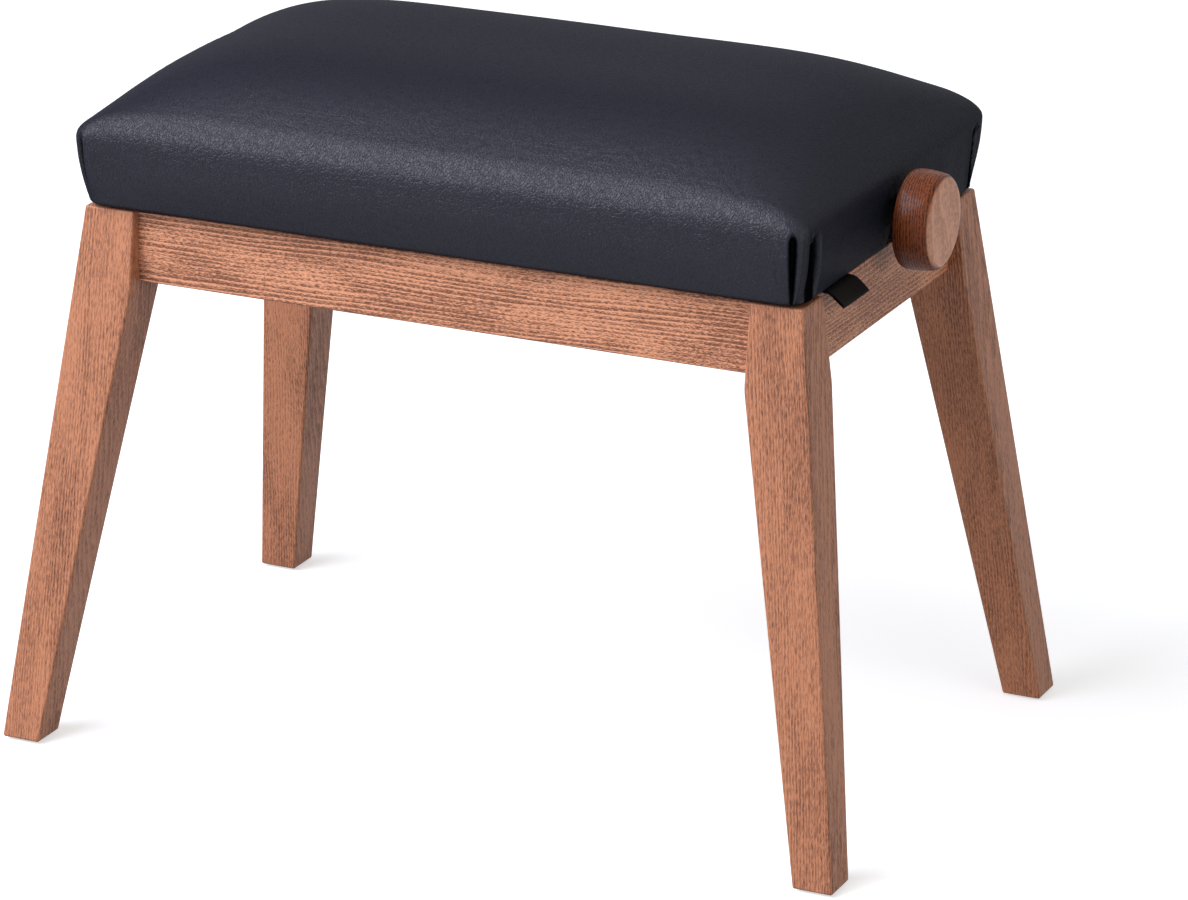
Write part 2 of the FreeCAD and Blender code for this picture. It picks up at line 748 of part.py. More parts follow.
def spindle_pieces():
    pieces = {"spindle": spindle(), "knob": knob(), "knob_insert": knob_insert()}
    twins = {"spindle_collars": collar(), "collar_set_screws": collar_screw()}
    for name, solid in twins.items():
        pieces[name] = group([at_side(solid, sx=sx) for _, sx in ENDS])
    return pieces


# ---------------------------------------------------------------- seat
def rounded_rectangle(half_x, half_y, radius, z):
    corners = [(half_x, half_y), (-half_x, half_y), (-half_x, -half_y), (half_x, -half_y)]
    face = outline([(x, y, radius) for x, y in corners], xy(z))
    return face.OuterWire


def cushion(inset, bottom, crown_cut=0.0):
    """The padded seat's outer form, taken in by inset: it swells to the bulge level, then crowns over."""
    levels = []
    for share in side_levels:
        swell = math.sin(share * math.pi / 2)
        grow_x = pad_low + (pad_side_x - pad_low) * swell
        grow_y = pad_low + (pad_side_y - pad_low) * swell
        z = bottom + (bulge_z - bottom) * share
        levels.append((z, half_seat_x + grow_x, half_seat_y + grow_y, pad_corner_round))
    for share in crown_levels:
        taken_x = crown_reach_x * (1 - (1 - share) ** (1 / crown_fullness_x))
        taken_y = crown_reach_y * (1 - (1 - share) ** (1 / crown_fullness_y))
        z = bulge_z + (crown_height - crown_cut) * share / crown_levels[-1]
        x = half_seat_x + pad_side_x - taken_x
        y = half_seat_y + pad_side_y - taken_y
        levels.append((z, x, y, pad_corner_round + crown_corner_growth * taken_y))
    wires = [rounded_rectangle(x - inset, y - inset, r - inset, z) for z, x, y, r in levels]
    return Part.makeLoft(wires, True, True)


def end_notch(spare=0.0):
    """Arched opening in the seat's right end for the spindle."""
    top = spindle_z + notch_above_axis + spare
    half = notch_half_width + spare
    low = cover_bottom - past
    bend = notch_round * half
    points = [(-half, low), (half, low), (half, top, bend), (-half, top, bend)]
    x0 = half_seat_x - rail_thickness - past
    x1 = half_seat_x + pad_side_x + past
    return outline(points, yz(x0)).extrude(Vector(x1 - x0, 0, 0))


def staple_places():
    """(x, y, along_x) of every staple under the frame."""
    places = []
    edge_x = half_seat_x - staple_inset
    edge_y = half_seat_y - staple_inset
    count = int(edge_x / staple_pitch)
    for sy in (-1, 1):
        places += [(i * staple_pitch, sy * edge_y, True) for i in range(-count, count + 1)]
    reach = edge_y - 2 * staple_inset
    for sx in (-1, 1):
        for y in (-reach, -reach / 2, reach / 2, reach):
            places.append((sx * edge_x, y, False))
    return places


def staple(x, y, along_x):
    """Wire staple with its crown on the turned-under leather."""
    half, wire = staple_crown / 2, staple_wire / 2
    crown_x, crown_y = (half, wire) if along_x else (wire, half)
    top = cover_bottom
    body = box(x - crown_x, x + crown_x, y - crown_y, y + crown_y, top - staple_wire, top)
    legs = []
    for side in (-1, 1):
        shift = side * (half - wire)
        leg_x, leg_y = (x + shift, y) if along_x else (x, y + shift)
        legs.append(box(leg_x - wire, leg_x + wire, leg_y - wire, leg_y + wire, top, top + staple_leg))
    return body.fuse(legs).removeSplitter()


def staple_leg_slots():
    """The slots that staple legs leave in leather and rails."""
    half, wire = staple_crown / 2, staple_wire / 2
    slots = []
    for x, y, along_x in staple_places():
        for side in (-1, 1):
            shift = side * (half - wire)
            leg_x, leg_y = (x + shift, y) if along_x else (x, y + shift)
            top = cover_bottom + staple_leg
            x0, x1, y0, y1 = leg_x - wire, leg_x + wire, leg_y - wire, leg_y + wire
            slots.append(box(x0, x1, y0, y1, cover_bottom - past, top))
    return slots


def rail_screw_places():
    """(x, y, z, sy) under the head of every screw that joins a long rail to an end rail."""
    x = half_seat_x - rail_thickness / 2
    y = half_seat_y - screw_head - rail_screw_sink
    heights = (rail_bottom + rail_screw_inset, rail_top - rail_screw_inset)
    return [(sx * x, sy * y, z, sy) for _, sx in ENDS for _, sy in SIDES for z in heights]


def rail_screws(maker):
    """Screws through the long rails into the end rails."""
    return [maker((x, y, z), (0, -sy, 0), rail_screw_length) for x, y, z, sy in rail_screw_places()]


def rail_screw_sinks():
    """Counterbores for those screws' heads."""
    radius = screw_head_radius + snug
    return [rod(radius, (x, y, z), (x, sy * (half_seat_y + past), z)) for x, y, z, sy in rail_screw_places()]


def board_box():
    x, y = half_seat_x - rebate, half_seat_y - rebate
    return box(-x, x, -y, y, board_bottom, rail_top)


def seat_board():
    return board_box().cut(upper_track_screws(screw_hole) + bracket_screws(screw_hole))


def frame_block():
    """The seat frame's outer form, with rounded upright corners."""
    body = box(-half_seat_x, half_seat_x, -half_seat_y, half_seat_y, rail_bottom, rail_top)
    return body.makeFillet(rail_corner_round, edges_along(body, Vector(0, 0, 1)))


def seat_rails():
    cuts = [board_box(), end_notch()] + staple_leg_slots() + rail_screws(screw_hole) + rail_screw_sinks()
    inner_x, inner_y = half_seat_x - rail_thickness, half_seat_y - rail_thickness
    pieces = {}
    for name, sy in SIDES:
        body = box(-half_seat_x, half_seat_x, sy * inner_y, sy * half_seat_y, rail_bottom, rail_top)
        pieces[f"seat_rail_{name}"] = body.common(frame_block()).cut(cuts)
    for name, sx in ENDS:
        body = box(sx * inner_x, sx * half_seat_x, -inner_y, inner_y, rail_bottom, rail_top)
        pieces[f"seat_rail_{name}"] = body.common(frame_block()).cut(cuts)
    return pieces


def seat_foam():
    """Foam block on the board, with the seat's crowned top."""
    above = box(-frame_length, frame_length, -frame_length, frame_length, rail_top, rail_top + leg_height)
    return cushion(leather + soft_gap, rail_bottom, leather + soft_gap).common(above)


def seat_wadding():
    """Wadding between the frame's sides and the leather."""
    below = box(-frame_length, frame_length, -frame_length, frame_length, rail_bottom, rail_top)
    ring = cushion(leather + soft_gap, rail_bottom, leather + soft_gap).common(below)
    return ring.cut([frame_block(), end_notch(notch_lining)])


def seat_cover():
    """Leather: one skin over top and sides, turned under the frame all round."""
    skin = hollow(cushion(0, cover_bottom), cushion(leather, rail_bottom, leather))
    x, y = half_seat_x - flap_width, half_seat_y - flap_width
    opening = box(-x, x, -y, y, cover_bottom - past, rail_bottom + past)
    return skin.cut([opening, end_notch()] + staple_leg_slots())


def side_tag():
    """Small woven tag held under the right-hand edge, leaning outward."""
    y0 = -half_seat_y + tag_from_front
    root_x = half_seat_x + pad_low + tag_clearance
    lean = math.radians(tag_lean)
    top = cover_bottom
    reach = Vector(math.sin(lean), 0, -math.cos(lean)) * tag_drop
    skin = Vector(-math.cos(lean), 0, -math.sin(lean)) * tag_thickness
    points = [
        Vector(root_x - tag_root, y0, top - tag_thickness),
        Vector(root_x - tag_root, y0, top),
        Vector(root_x, y0, top),
        Vector(root_x, y0, top) + reach,
        Vector(root_x, y0, top) + reach + skin,
        Vector(root_x + skin.x, y0, top - tag_thickness),
    ]
    face = Part.Face(Part.makePolygon(points + [points[0]]))
    return face.extrude(Vector(0, tag_width, 0))


def upper_track_screws(maker):
    """Screws up through the track's top flange into the board, +Y side and -Y side."""
    y = track_tip_y + (track_depth - track_wall) / 2
    z = board_bottom - track_wall
    places = [(x, sy * y, z) for x in track_screw_places() for _, sy in SIDES]
    return [maker(place, (0, 0, 1), bracket_screw_length) for place in places]


def bracket_screws(maker):
    made = []
    x = bracket_x - bracket_foot / 2
    for sx in (-1, 1):
        for sy in (-1, 1):
            y = sy * (bracket_width / 2 - 2 * screw_head_radius)
            made.append(maker((sx * x, y, board_bottom - bracket_wall), (0, 0, 1), bracket_screw_length))
    return made


def spindle_bracket():
    """Angle bracket under the board at the +X end, with a bush for the spindle."""
    low = spindle_z - bush_flange_radius - bracket_below_bush
    half = bracket_width / 2
    plate = box(bracket_x, bracket_x + bracket_wall, -half, half, low, board_bottom)
    foot = box(bracket_x - bracket_foot, bracket_x, -half, half, board_bottom - bracket_wall, board_bottom)
    body = plate.fuse(foot).removeSplitter()
    lower = [e for e in edges_along(body, Vector(1, 0, 0)) if e.BoundBox.ZMax < low + same]
    body = body.makeFillet(bracket_corner_round, lower)
    start, stop = bracket_x - past, bracket_x + bracket_wall + past
    hole = rod(bush_radius + snug, (start, 0, spindle_z), (stop, 0, spindle_z))
    return body.cut([hole] + bracket_screws(screw_hole))


def spindle_bush():
    """Flanged nylon bush in the bracket."""
    x0, x1 = bracket_x - bush_lip, bracket_x + bracket_wall + bush_flange
    sleeve = rod(bush_radius, (x0, 0, spindle_z), (x1, 0, spindle_z))
    flange = rod(bush_flange_radius, (bracket_x + bracket_wall, 0, spindle_z), (x1, 0, spindle_z))
    bore = rod(spindle_radius + fit, (x0 - past, 0, spindle_z), (x1 + past, 0, spindle_z))
    return sleeve.fuse(flange).removeSplitter().cut(bore)


def seat_pieces():
    pieces = seat_rails()
    pieces["seat_board"] = seat_board()
    pieces["seat_foam"] = seat_foam()
    pieces["seat_wadding"] = seat_wadding()
    pieces["seat_cover"] = seat_cover()
    pieces["side_tag"] = side_tag()
    pieces["cover_staples"] = group([staple(*place) for place in staple_places()])
    pieces["seat_rail_screws"] = group(rail_screws(screw))
    pieces["upper_track_screws"] = group(upper_track_screws(screw))
    pieces["bracket_screws"] = group(bracket_screws(screw))
    twins = {"spindle_brackets": spindle_bracket(), "spindle_bushes": spindle_bush()}
    for name, solid in twins.items():
        pieces[name] = group([at_side(solid, sx=sx) for _, sx in ENDS])
    for name, sy in SIDES:
        track = channel(spindle_z).cut(upper_track_screws(screw_hole))
        pieces[f"upper_track_{name}"] = at_side(track, sy=sy)
    return pieces


def main():
    os.makedirs("parts", exist_ok=True)
    pieces = {**base_pieces(), **lift_pieces(), **spindle_pieces(), **seat_pieces()}
    for name, shape in pieces.items():
        if not shape.isValid():
            raise ValueError(f"{name} is not a valid shape")
        shape.exportStep(f"parts/{name}.step")
    print(f"{len(pieces)} pieces; lift angle {rest_angle:.4f} to {top_angle:.4f} degrees")
    print(f"pivots: fixed x {pivot_x:.4f}, sliding x {slider_x:.4f} to {slider_x_raised:.4f}")
    print(f"axis heights: lower {lower_axis_z:.4f}, upper {spindle_z:.4f}")
    print(f"centre of the arms: {centre_x:.4f}, {centre_z:.4f}")


main()
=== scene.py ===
"""Piano bench with a padded leather seat on splayed stained-wood legs, and a scissor lift under the seat.

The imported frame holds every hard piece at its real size. This script models the soft seat, the leather and the
side tag, and gives every piece its finish. Lengths are metres, +Z is up and the bench's front faces -Y.
"""

import math
from collections import namedtuple

import bmesh
import bpy
from bpy.props import FloatProperty, FloatVectorProperty, IntProperty, PointerProperty
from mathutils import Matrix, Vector
from mathutils.kdtree import KDTree
from mathutils.noise import noise as noise_value


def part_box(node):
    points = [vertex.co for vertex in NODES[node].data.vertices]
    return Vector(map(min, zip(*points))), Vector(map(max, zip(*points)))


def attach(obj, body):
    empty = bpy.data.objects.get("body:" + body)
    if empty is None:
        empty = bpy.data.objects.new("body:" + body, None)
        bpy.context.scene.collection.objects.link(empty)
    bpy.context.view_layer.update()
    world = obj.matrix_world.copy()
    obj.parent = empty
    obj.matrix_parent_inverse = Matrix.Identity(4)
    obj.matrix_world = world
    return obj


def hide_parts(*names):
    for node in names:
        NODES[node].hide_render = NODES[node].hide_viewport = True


bl_info = {
    "name": "Piano Bench",
    "version": (1, 0, 0),
    "blender": (4, 5, 0),
    "location": "View3D > Sidebar > Piano Bench",
    "description": "Models the padded seat and finishes every piece of the bench",
    "category": "Add Mesh",
}

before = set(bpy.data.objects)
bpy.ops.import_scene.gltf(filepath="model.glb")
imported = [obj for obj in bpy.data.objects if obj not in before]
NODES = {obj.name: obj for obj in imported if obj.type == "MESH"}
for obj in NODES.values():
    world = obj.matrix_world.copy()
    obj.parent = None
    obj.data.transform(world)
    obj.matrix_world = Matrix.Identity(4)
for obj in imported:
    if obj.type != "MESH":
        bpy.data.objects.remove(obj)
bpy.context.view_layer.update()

COVER_LOW, COVER_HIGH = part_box("seat_cover")
FOAM_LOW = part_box("seat_foam")[0]
TAG_LOW, TAG_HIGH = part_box("side_tag")
WADDING_LOW, WADDING_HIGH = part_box("seat_wadding")
FRAME_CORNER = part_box("seat_rail_rear")[1].xy
FRAME_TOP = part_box("seat_rail_rear")[1].z
FRAME_ROUND = 0.010  # the seat frame's upright corners
SIDES = ("front", "rear")
ENDS = ("left", "right")
CORNERS = [(side, end) for side in SIDES for end in ENDS]
LEG_SPLAY_X = math.radians(7.3)
LEG_SPLAY_Y = math.radians(8.0)
LEG_TONE = (0.685, 0.625, 0.580)  # the legs' stain, as a share of the aprons'
ALONG_X = (0, math.radians(-90), 0)  # turns that lay the wood's grain along an axis
ALONG_Y = (math.radians(90), 0, 0)
CAMERA_PLACE = (1.659, -3.377, 1.555)
CAMERA_TURN = 25.49
CAMERA_TILT = 19.71
CAMERA_FOCAL = 166.4
KEY_COLOUR = (0.95, 0.975, 1.10)  # slightly cold daylight


# ---------------------------------------------------------------- sizes and colours a user would change
def figure(name, description, default, **more):
    return FloatProperty(name=name, description=description, default=default, **more)


def metres(*words):
    return figure(*words, unit="LENGTH")


def lip_pair(name, default):
    words = "From the corner's middle to the two lips of the fold"
    return FloatVectorProperty(name=name, description=words, size=2, default=default, unit="LENGTH")


def tint(name, description, default):
    return FloatVectorProperty(name=name, description=description, default=default, subtype="COLOR", min=0, max=1)


class SeatSizes(bpy.types.PropertyGroup):
    side_height: metres("Side height", "Height of the fold between side and top, above the bottom edge", 0.0512)
    rim_height: metres("Rim height", "How much of the height the rounded rim takes", 0.014)
    rim_reach_x: metres("End rim reach", "How far in from the ends the rim rounds over", 0.038)
    rim_reach_y: metres("Side rim reach", "How far in from the long sides the rim rounds over", 0.014)
    crown_reach_x: metres("Crown reach, ends", "How far in from the ends the top keeps rising", 0.282)
    crown_reach_y: metres("Crown reach, sides", "How far in from the long sides the top keeps rising", 0.158)
    fullness_x: figure("Fullness, ends", "How fast the rise from the ends slows down", 6.0)
    fullness_y: figure("Fullness, sides", "How fast the rise from the long sides slows down", 3.05)
    side_proud: metres("Side fullness", "How far the long sides stand outside the plain form", 0.0012)
    corner_round: metres("Corner round", "Radius of the upright corners", 0.015)
    end_tuck: metres("End tuck", "How far the bottom edge is drawn in under the widest level, at the ends", 0.005)
    side_tuck: metres("Side tuck", "The same on the long sides", 0.0085)
    hem_round: metres("Bottom edge round", "Radius where the side turns under the frame", 0.0035)
    flap: metres("Turned-in flap", "Leather under the frame", 0.014)
    thickness: metres("Leather thickness", "Thickness of the leather", 0.0012)
    pleat_depth: metres("Pleat depth", "Depth of the two folds at each corner", 0.0062)
    side_pleat: lip_pair("Long-side pleat", (-0.0074, -0.0014))
    end_pleat: lip_pair("End pleat", (0.0150, 0.0278))
    pleat_edge: metres("Pleat edge", "How soon the lip of a fold turns in", 0.0007)
    notch_half: metres("Notch half width", "Half width of the opening over the spindle", 0.009)
    notch_rise: metres("Notch rise", "Height of that opening", 0.030)
    swell: metres("Cloth swell", "Most that any place of the leather swells", 0.0010)
    swell_frames: IntProperty(name="Cloth frames", description="Frames the cloth step runs", default=20)


class WoodColours(bpy.types.PropertyGroup):
    light: tint("Stain, light", "Stained wood between the pores", (0.76, 0.340, 0.184))
    dark: tint("Stain, dark", "Stained wood in its pores and late rings", (0.175, 0.062, 0.031))
    # Painted shade: the knob's barrel is stained far darker than its flat face, standing in for the seat's shadow on
    # it; the face tones are the lit copy of the same wood.
    knob_barrel_shaded_light: tint("Knob, light", "Polished knob, light rings", (0.20, 0.048, 0.013))
    knob_barrel_shaded_dark: tint("Knob, dark", "Polished knob, dark rings", (0.040, 0.009, 0.004))
    knob_face_lit_light: tint("Knob face, light", "Flat face of the knob", (0.72, 0.325, 0.182))
    knob_face_lit_dark: tint("Knob face, dark", "Pores in the flat face", (0.50, 0.215, 0.118))


class LeatherColours(bpy.types.PropertyGroup):
    top: tint("Leather", "Raised grain of the leather", (0.0120, 0.0130, 0.0240))
    crease: tint("Creases", "Creases between the grain", (0.0055, 0.0058, 0.0100))


class StageSizes(bpy.types.PropertyGroup):
    floor_size: metres("Floor", "Side of the floor", 30.0)
    floor_seen: figure("Floor shade", "How pale the floor looks", 0.78)
    floor_bounce: figure("Floor bounce", "How much light the floor gives back", 0.34)
    floor_glow: figure("Floor glow", "Lift that turns the lit floor white", 0.57)
    key_power: figure("Key light", "Power of the key light", 335.0, unit="POWER")
    fill_power: figure("Fill light", "Power of the light on the right", 24.0, unit="POWER")
    world_level: figure("Even light", "Light from all round", 0.26)


# ---------------------------------------------------------------- node helpers
def new_group(name, **inputs):
    """Shader node group that takes a vector and the named numbers and colours, and gives a surface's look."""
    group = bpy.data.node_groups.new(name, "ShaderNodeTree")
    new_socket = group.interface.new_socket
    new_socket("Vector", in_out="INPUT", socket_type="NodeSocketVector")
    for label, default in inputs.items():
        kind = "Color" if isinstance(default, tuple) else "Float"
        socket = new_socket(label.replace("_", " "), in_out="INPUT", socket_type=f"NodeSocket{kind}")
        socket.default_value = default
    for label, kind in (("Color", "Color"), ("Roughness", "Float"), ("Height", "Float")):
        new_socket(label, in_out="OUTPUT", socket_type=f"NodeSocket{kind}")
    return group, add(group, "NodeGroupInput").outputs, add(group, "NodeGroupOutput").inputs


def add(tree, kind, **settings):
    node = tree.nodes.new(kind)
    for key, value in settings.items():
        setattr(node, key, value)
    return node


def join(tree, start, end):
    tree.links.new(start, end)


def maths(tree, operation, first, second=None, third=None):
    """Math node; each input is a socket or a number."""
    node = add(tree, "ShaderNodeMath", operation=operation)
    for slot, value in zip(node.inputs, (first, second, third)):
        if value is None:
            continue
        if isinstance(value, (int, float)):
            slot.default_value = value
        else:
            join(tree, value, slot)
    return node.outputs[0]


def times_plus(tree, value, factor, extra):
    return maths(tree, "MULTIPLY_ADD", value, factor, extra)


def mix_colours(tree, factor, first, second):
    """Colour mix; each input is a socket, a number or a colour."""
    node = add(tree, "ShaderNodeMix", data_type="RGBA")
    for slot, value in ((node.inputs[0], factor), (node.inputs[6], first), (node.inputs[7], second)):
        if isinstance(value, bpy.types.NodeSocket):
            join(tree, value, slot)
        elif isinstance(value, (int, float)):
            slot.default_value = value
        else:
            slot.default_value = (*value, 1)
    return node.outputs[2]


def spread(tree, value, low, high, to_low=0.0, to_high=1.0):
    """Map Range node, clamped and smooth."""
    node = add(tree, "ShaderNodeMapRange", interpolation_type="SMOOTHSTEP")
    join(tree, value, node.inputs["Value"])
    for label, number in (("From Min", low), ("From Max", high), ("To Min", to_low), ("To Max", to_high)):
        node.inputs[label].default_value = number
    return node.outputs["Result"]


def stretched(tree, vector, scale):
    """The vector multiplied by (x, y, z)."""
    node = add(tree, "ShaderNodeVectorMath", operation="MULTIPLY")
    join(tree, vector, node.inputs[0])
    node.inputs[1].default_value = scale
    return node.outputs[0]


def noise(tree, vector, scale, detail=2.0, roughness=0.5):
    """Noise at one scale, or at its own scale along each axis."""
    if not isinstance(scale, (int, float)):
        vector, scale = stretched(tree, vector, scale), 1.0
    node = add(tree, "ShaderNodeTexNoise")
    join(tree, vector, node.inputs["Vector"])
    for label, value in (("Scale", scale), ("Detail", detail), ("Roughness", roughness)):
        node.inputs[label].default_value = value
    return node.outputs["Fac"]


def cells(tree, vector, scale, **settings):
    """Voronoi distance."""
    node = add(tree, "ShaderNodeTexVoronoi", **settings)
    join(tree, vector, node.inputs["Vector"])
    node.inputs["Scale"].default_value = scale
    return node.outputs["Distance"]


def parted(tree, vector):
    """The X, Y and Z of a vector."""
    node = add(tree, "ShaderNodeSeparateXYZ")
    join(tree, vector, node.inputs[0])
    return node.outputs


def object_place(tree, shift=(0, 0, 0), turn=(0, 0, 0), scale=(1, 1, 1)):
    """Object coordinates, scaled, turned and then shifted, so that a pattern's own +Z lies along a piece."""
    coordinate = add(tree, "ShaderNodeTexCoord")
    mapping = add(tree, "ShaderNodeMapping")
    join(tree, coordinate.outputs["Object"], mapping.inputs["Vector"])
    mapping.inputs["Location"].default_value = shift
    mapping.inputs["Rotation"].default_value = turn
    mapping.inputs["Scale"].default_value = scale
    return mapping.outputs["Vector"]


def new_material(name, **settings):
    """Material with a Principled BSDF whose plain sockets are set by name."""
    material = bpy.data.materials.new(name)
    material.use_nodes = True
    shader = material.node_tree.nodes["Principled BSDF"]
    for label, value in settings.items():
        shader.inputs[label.replace("_", " ")].default_value = value
    return material, material.node_tree, shader


def surface(tree, shader, colour, roughness):
    join(tree, colour, shader.inputs["Base Color"])
    join(tree, roughness, shader.inputs["Roughness"])


def bump(tree, shader, height, strength, distance):
    node = add(tree, "ShaderNodeBump")
    node.inputs["Strength"].default_value = strength
    node.inputs["Distance"].default_value = distance
    join(tree, height, node.inputs["Height"])
    join(tree, node.outputs["Normal"], shader.inputs["Normal"])
    return node


# ---------------------------------------------------------------- shared effects
def group_effect(tree, group, vector, **settings):
    """Use a shared effect; its plain sockets are set by name."""
    effect = add(tree, "ShaderNodeGroup", node_tree=group)
    join(tree, vector, effect.inputs["Vector"])
    for label, value in settings.items():
        effect.inputs[label.replace("_", " ")].default_value = value
    return effect


def dress(tree, shader, effect, strength, distance):
    """Colour, roughness and relief of a surface, all from one effect."""
    surface(tree, shader, effect.outputs["Color"], effect.outputs["Roughness"])
    bump(tree, shader, effect.outputs["Height"], strength, distance)


def grain_group():
    """Straight beech grain along the pattern's Z: rings, fine streaks and short pores."""
    name = "Wood grain"
    if name in bpy.data.node_groups:
        return bpy.data.node_groups[name]
    group, given, made = new_group(
        name, Light=(0.5, 0.22, 0.12, 1), Dark=(0.2, 0.08, 0.04, 1), Ring_size=0.0045, Ring_strength=0.5,
        Pore_strength=0.6, Fleck_strength=0.85,
    )
    vector = given["Vector"]

    warp = noise(group, vector, (14, 14, 3.0))
    wave = noise(group, vector, (60, 60, 24), detail=1.0)
    split = parted(group, vector)
    slope = times_plus(group, split["Y"], 0.35, split["X"])
    slope = times_plus(group, split["Z"], 0.012, slope)
    drift = noise(group, vector, (95, 95, 5.0))
    shifted = times_plus(group, warp, 0.016, slope)
    shifted = times_plus(group, drift, 0.0060, shifted)
    shifted = times_plus(group, wave, 0.0014, shifted)
    ring = maths(group, "FRACT", maths(group, "DIVIDE", shifted, given["Ring size"]))
    early = maths(group, "MULTIPLY", spread(group, ring, 0.0, 0.10), spread(group, ring, 0.30, 0.14))
    late = spread(group, ring, 0.25, 0.75)
    clear = spread(group, noise(group, vector, (70, 70, 9), detail=1.0), 0.35, 0.6, 0.45, 1.25)
    ringed = maths(group, "MULTIPLY", maths(group, "SUBTRACT", late, maths(group, "MULTIPLY", early, 1.2)), clear)
    ringed = maths(group, "MULTIPLY", ringed, given["Ring strength"])

    flecks = noise(group, vector, (1350, 1350, 340), detail=3.0, roughness=0.72)
    fine = spread(group, flecks, 0.38, 0.62)
    pore_noise = noise(group, vector, (1500, 1500, 300), detail=1.0)
    pores = maths(group, "MULTIPLY", spread(group, pore_noise, 0.52, 0.66), given["Pore strength"])
    pores = maths(group, "MULTIPLY", pores, times_plus(group, late, 0.6, 0.7))
    broad = noise(group, vector, (34, 34, 11), detail=3.0, roughness=0.6)
    tone = spread(group, broad, 0.3, 0.7, -0.28, 0.24)

    dark = times_plus(group, fine, given["Fleck strength"], ringed)
    dark = maths(group, "SUBTRACT", dark, 0.10)
    dark = maths(group, "ADD", dark, pores)
    dark = maths(group, "ADD", dark, tone)
    clamp = add(group, "ShaderNodeClamp")
    join(group, dark, clamp.inputs[0])
    dark = clamp.outputs[0]
    join(group, mix_colours(group, dark, given["Light"], given["Dark"]), made["Color"])
    join(group, times_plus(group, dark, 0.14, 0.42), made["Roughness"])
    height = times_plus(group, fine, -0.35, 1.0)
    join(group, times_plus(group, pores, -0.65, height), made["Height"])
    return group


def speckle_group():
    """Cloudy wear and fine speckle for metal and moulded pieces."""
    name = "Speckle"
    if name in bpy.data.node_groups:
        return bpy.data.node_groups[name]
    group, given, made = new_group(
        name, Color=(0.6, 0.6, 0.6, 1), Scale=60.0, Amount=0.2, Rough_low=0.3, Rough_high=0.5
    )
    scaled = add(group, "ShaderNodeVectorMath", operation="SCALE")
    join(group, given["Vector"], scaled.inputs[0])
    join(group, given["Scale"], scaled.inputs["Scale"])
    cloud = noise(group, scaled.outputs[0], 1.0, detail=4.0, roughness=0.6)
    grain = noise(group, scaled.outputs[0], 22.0)
    shade = maths(group, "MULTIPLY", spread(group, cloud, 0.35, 0.7), given["Amount"])
    join(group, mix_colours(group, shade, given["Color"], (0, 0, 0)), made["Color"])
    span = maths(group, "SUBTRACT", given["Rough high"], given["Rough low"])
    join(group, times_plus(group, cloud, span, given["Rough low"]), made["Roughness"])
    join(group, times_plus(group, grain, 0.5, cloud), made["Height"])
    return group


# ---------------------------------------------------------------- finishes
def wood_material(name, light, dark, turn, shift, scale=(1, 1, 1), looks=None, **grain):
    """Grained wood; grain sets the rings, pores and flecks, looks the shader's plain sockets."""
    material, tree, shader = new_material(name, **{"Specular_IOR_Level": 0.35, **(looks or {})})
    effect = group_effect(
        tree, grain_group(), object_place(tree, shift, turn, scale), Light=(*light, 1), Dark=(*dark, 1), **grain
    )
    dress(tree, shader, effect, 0.35, 0.0002)
    return material


def speckled_material(name, colour, scale, amount, rough, metallic=0.0, depth=0.0001):
    material, tree, shader = new_material(name, Metallic=metallic)
    effect = group_effect(
        tree, speckle_group(), object_place(tree), Color=(*colour, 1), Scale=scale, Amount=amount,
        Rough_low=rough[0], Rough_high=rough[1],
    )
    dress(tree, shader, effect, 0.3, depth)
    return material


def leather_material():
    """Pebbled leather: rounded grains in creases, a net of fine wrinkles, and a gloss that its grain hides at a
    glancing angle."""
    colours = bpy.context.scene.bench_leather
    material, tree, shader = new_material("Black leather", Specular_IOR_Level=0.0, Coat_Roughness=0.36)
    place = object_place(tree)
    shifted = add(tree, "ShaderNodeVectorMath", operation="MULTIPLY_ADD")
    join(tree, noise(tree, place, 140.0), shifted.inputs[0])
    shifted.inputs[1].default_value = (0.006, 0.006, 0.006)
    join(tree, place, shifted.inputs[2])

    long_cells = stretched(tree, shifted.outputs[0], (1.0, 1.0, 0.55))
    creases = [
        spread(tree, cells(tree, long_cells, scale, feature="DISTANCE_TO_EDGE"), 0.0, wide)
        for scale, wide in ((560.0, 0.20), (300.0, 0.14))
    ]
    wrinkle = noise(tree, place, (330, 330, 120), detail=4.0, roughness=0.7)
    height = times_plus(tree, creases[1], 0.8, creases[0])
    height = times_plus(tree, wrinkle, 0.9, height)

    # Painted shade: deep in the corner folds (the layer named fold) the leather is painted near black and its coat
    # gloss is cut, standing in for the shade inside the grooves.
    folded = add(tree, "ShaderNodeAttribute", attribute_name="fold")
    opened = spread(tree, folded.outputs["Fac"], 0.15, 0.75, 1.0, 0.06)
    grained = mix_colours(tree, creases[0], colours.crease, colours.top)
    colour = mix_colours(tree, opened, (0.0008, 0.0008, 0.0010), grained)
    surface(tree, shader, colour, times_plus(tree, wrinkle, 0.12, 0.50))
    facing = add(tree, "ShaderNodeLayerWeight")
    glossy = spread(tree, facing.outputs["Facing"], 0.10, 0.62, 0.60, 0.19)
    join(tree, maths(tree, "MULTIPLY", glossy, opened), shader.inputs["Coat Weight"])
    normal = bump(tree, shader, height, 0.45, 0.00045)
    join(tree, normal.outputs["Normal"], shader.inputs["Coat Normal"])
    return material


def weave_material(name, colour):
    """Tight satin weave: threads across threads."""
    material, tree, shader = new_material(name, Specular_IOR_Level=0.06)
    place = object_place(tree)
    waves = []
    for direction in ("Y", "Z"):
        wave = add(tree, "ShaderNodeTexWave", bands_direction=direction)
        join(tree, place, wave.inputs["Vector"])
        wave.inputs["Scale"].default_value = 420.0
        wave.inputs["Distortion"].default_value = 0.4
        waves.append(wave.outputs["Fac"])
    weave = maths(tree, "MULTIPLY", waves[0], waves[1])
    thread = mix_colours(tree, weave, [c * 0.5 for c in colour], colour)
    surface(tree, shader, thread, times_plus(tree, weave, -0.15, 0.62))
    bump(tree, shader, weave, 0.4, 0.00015)
    return material


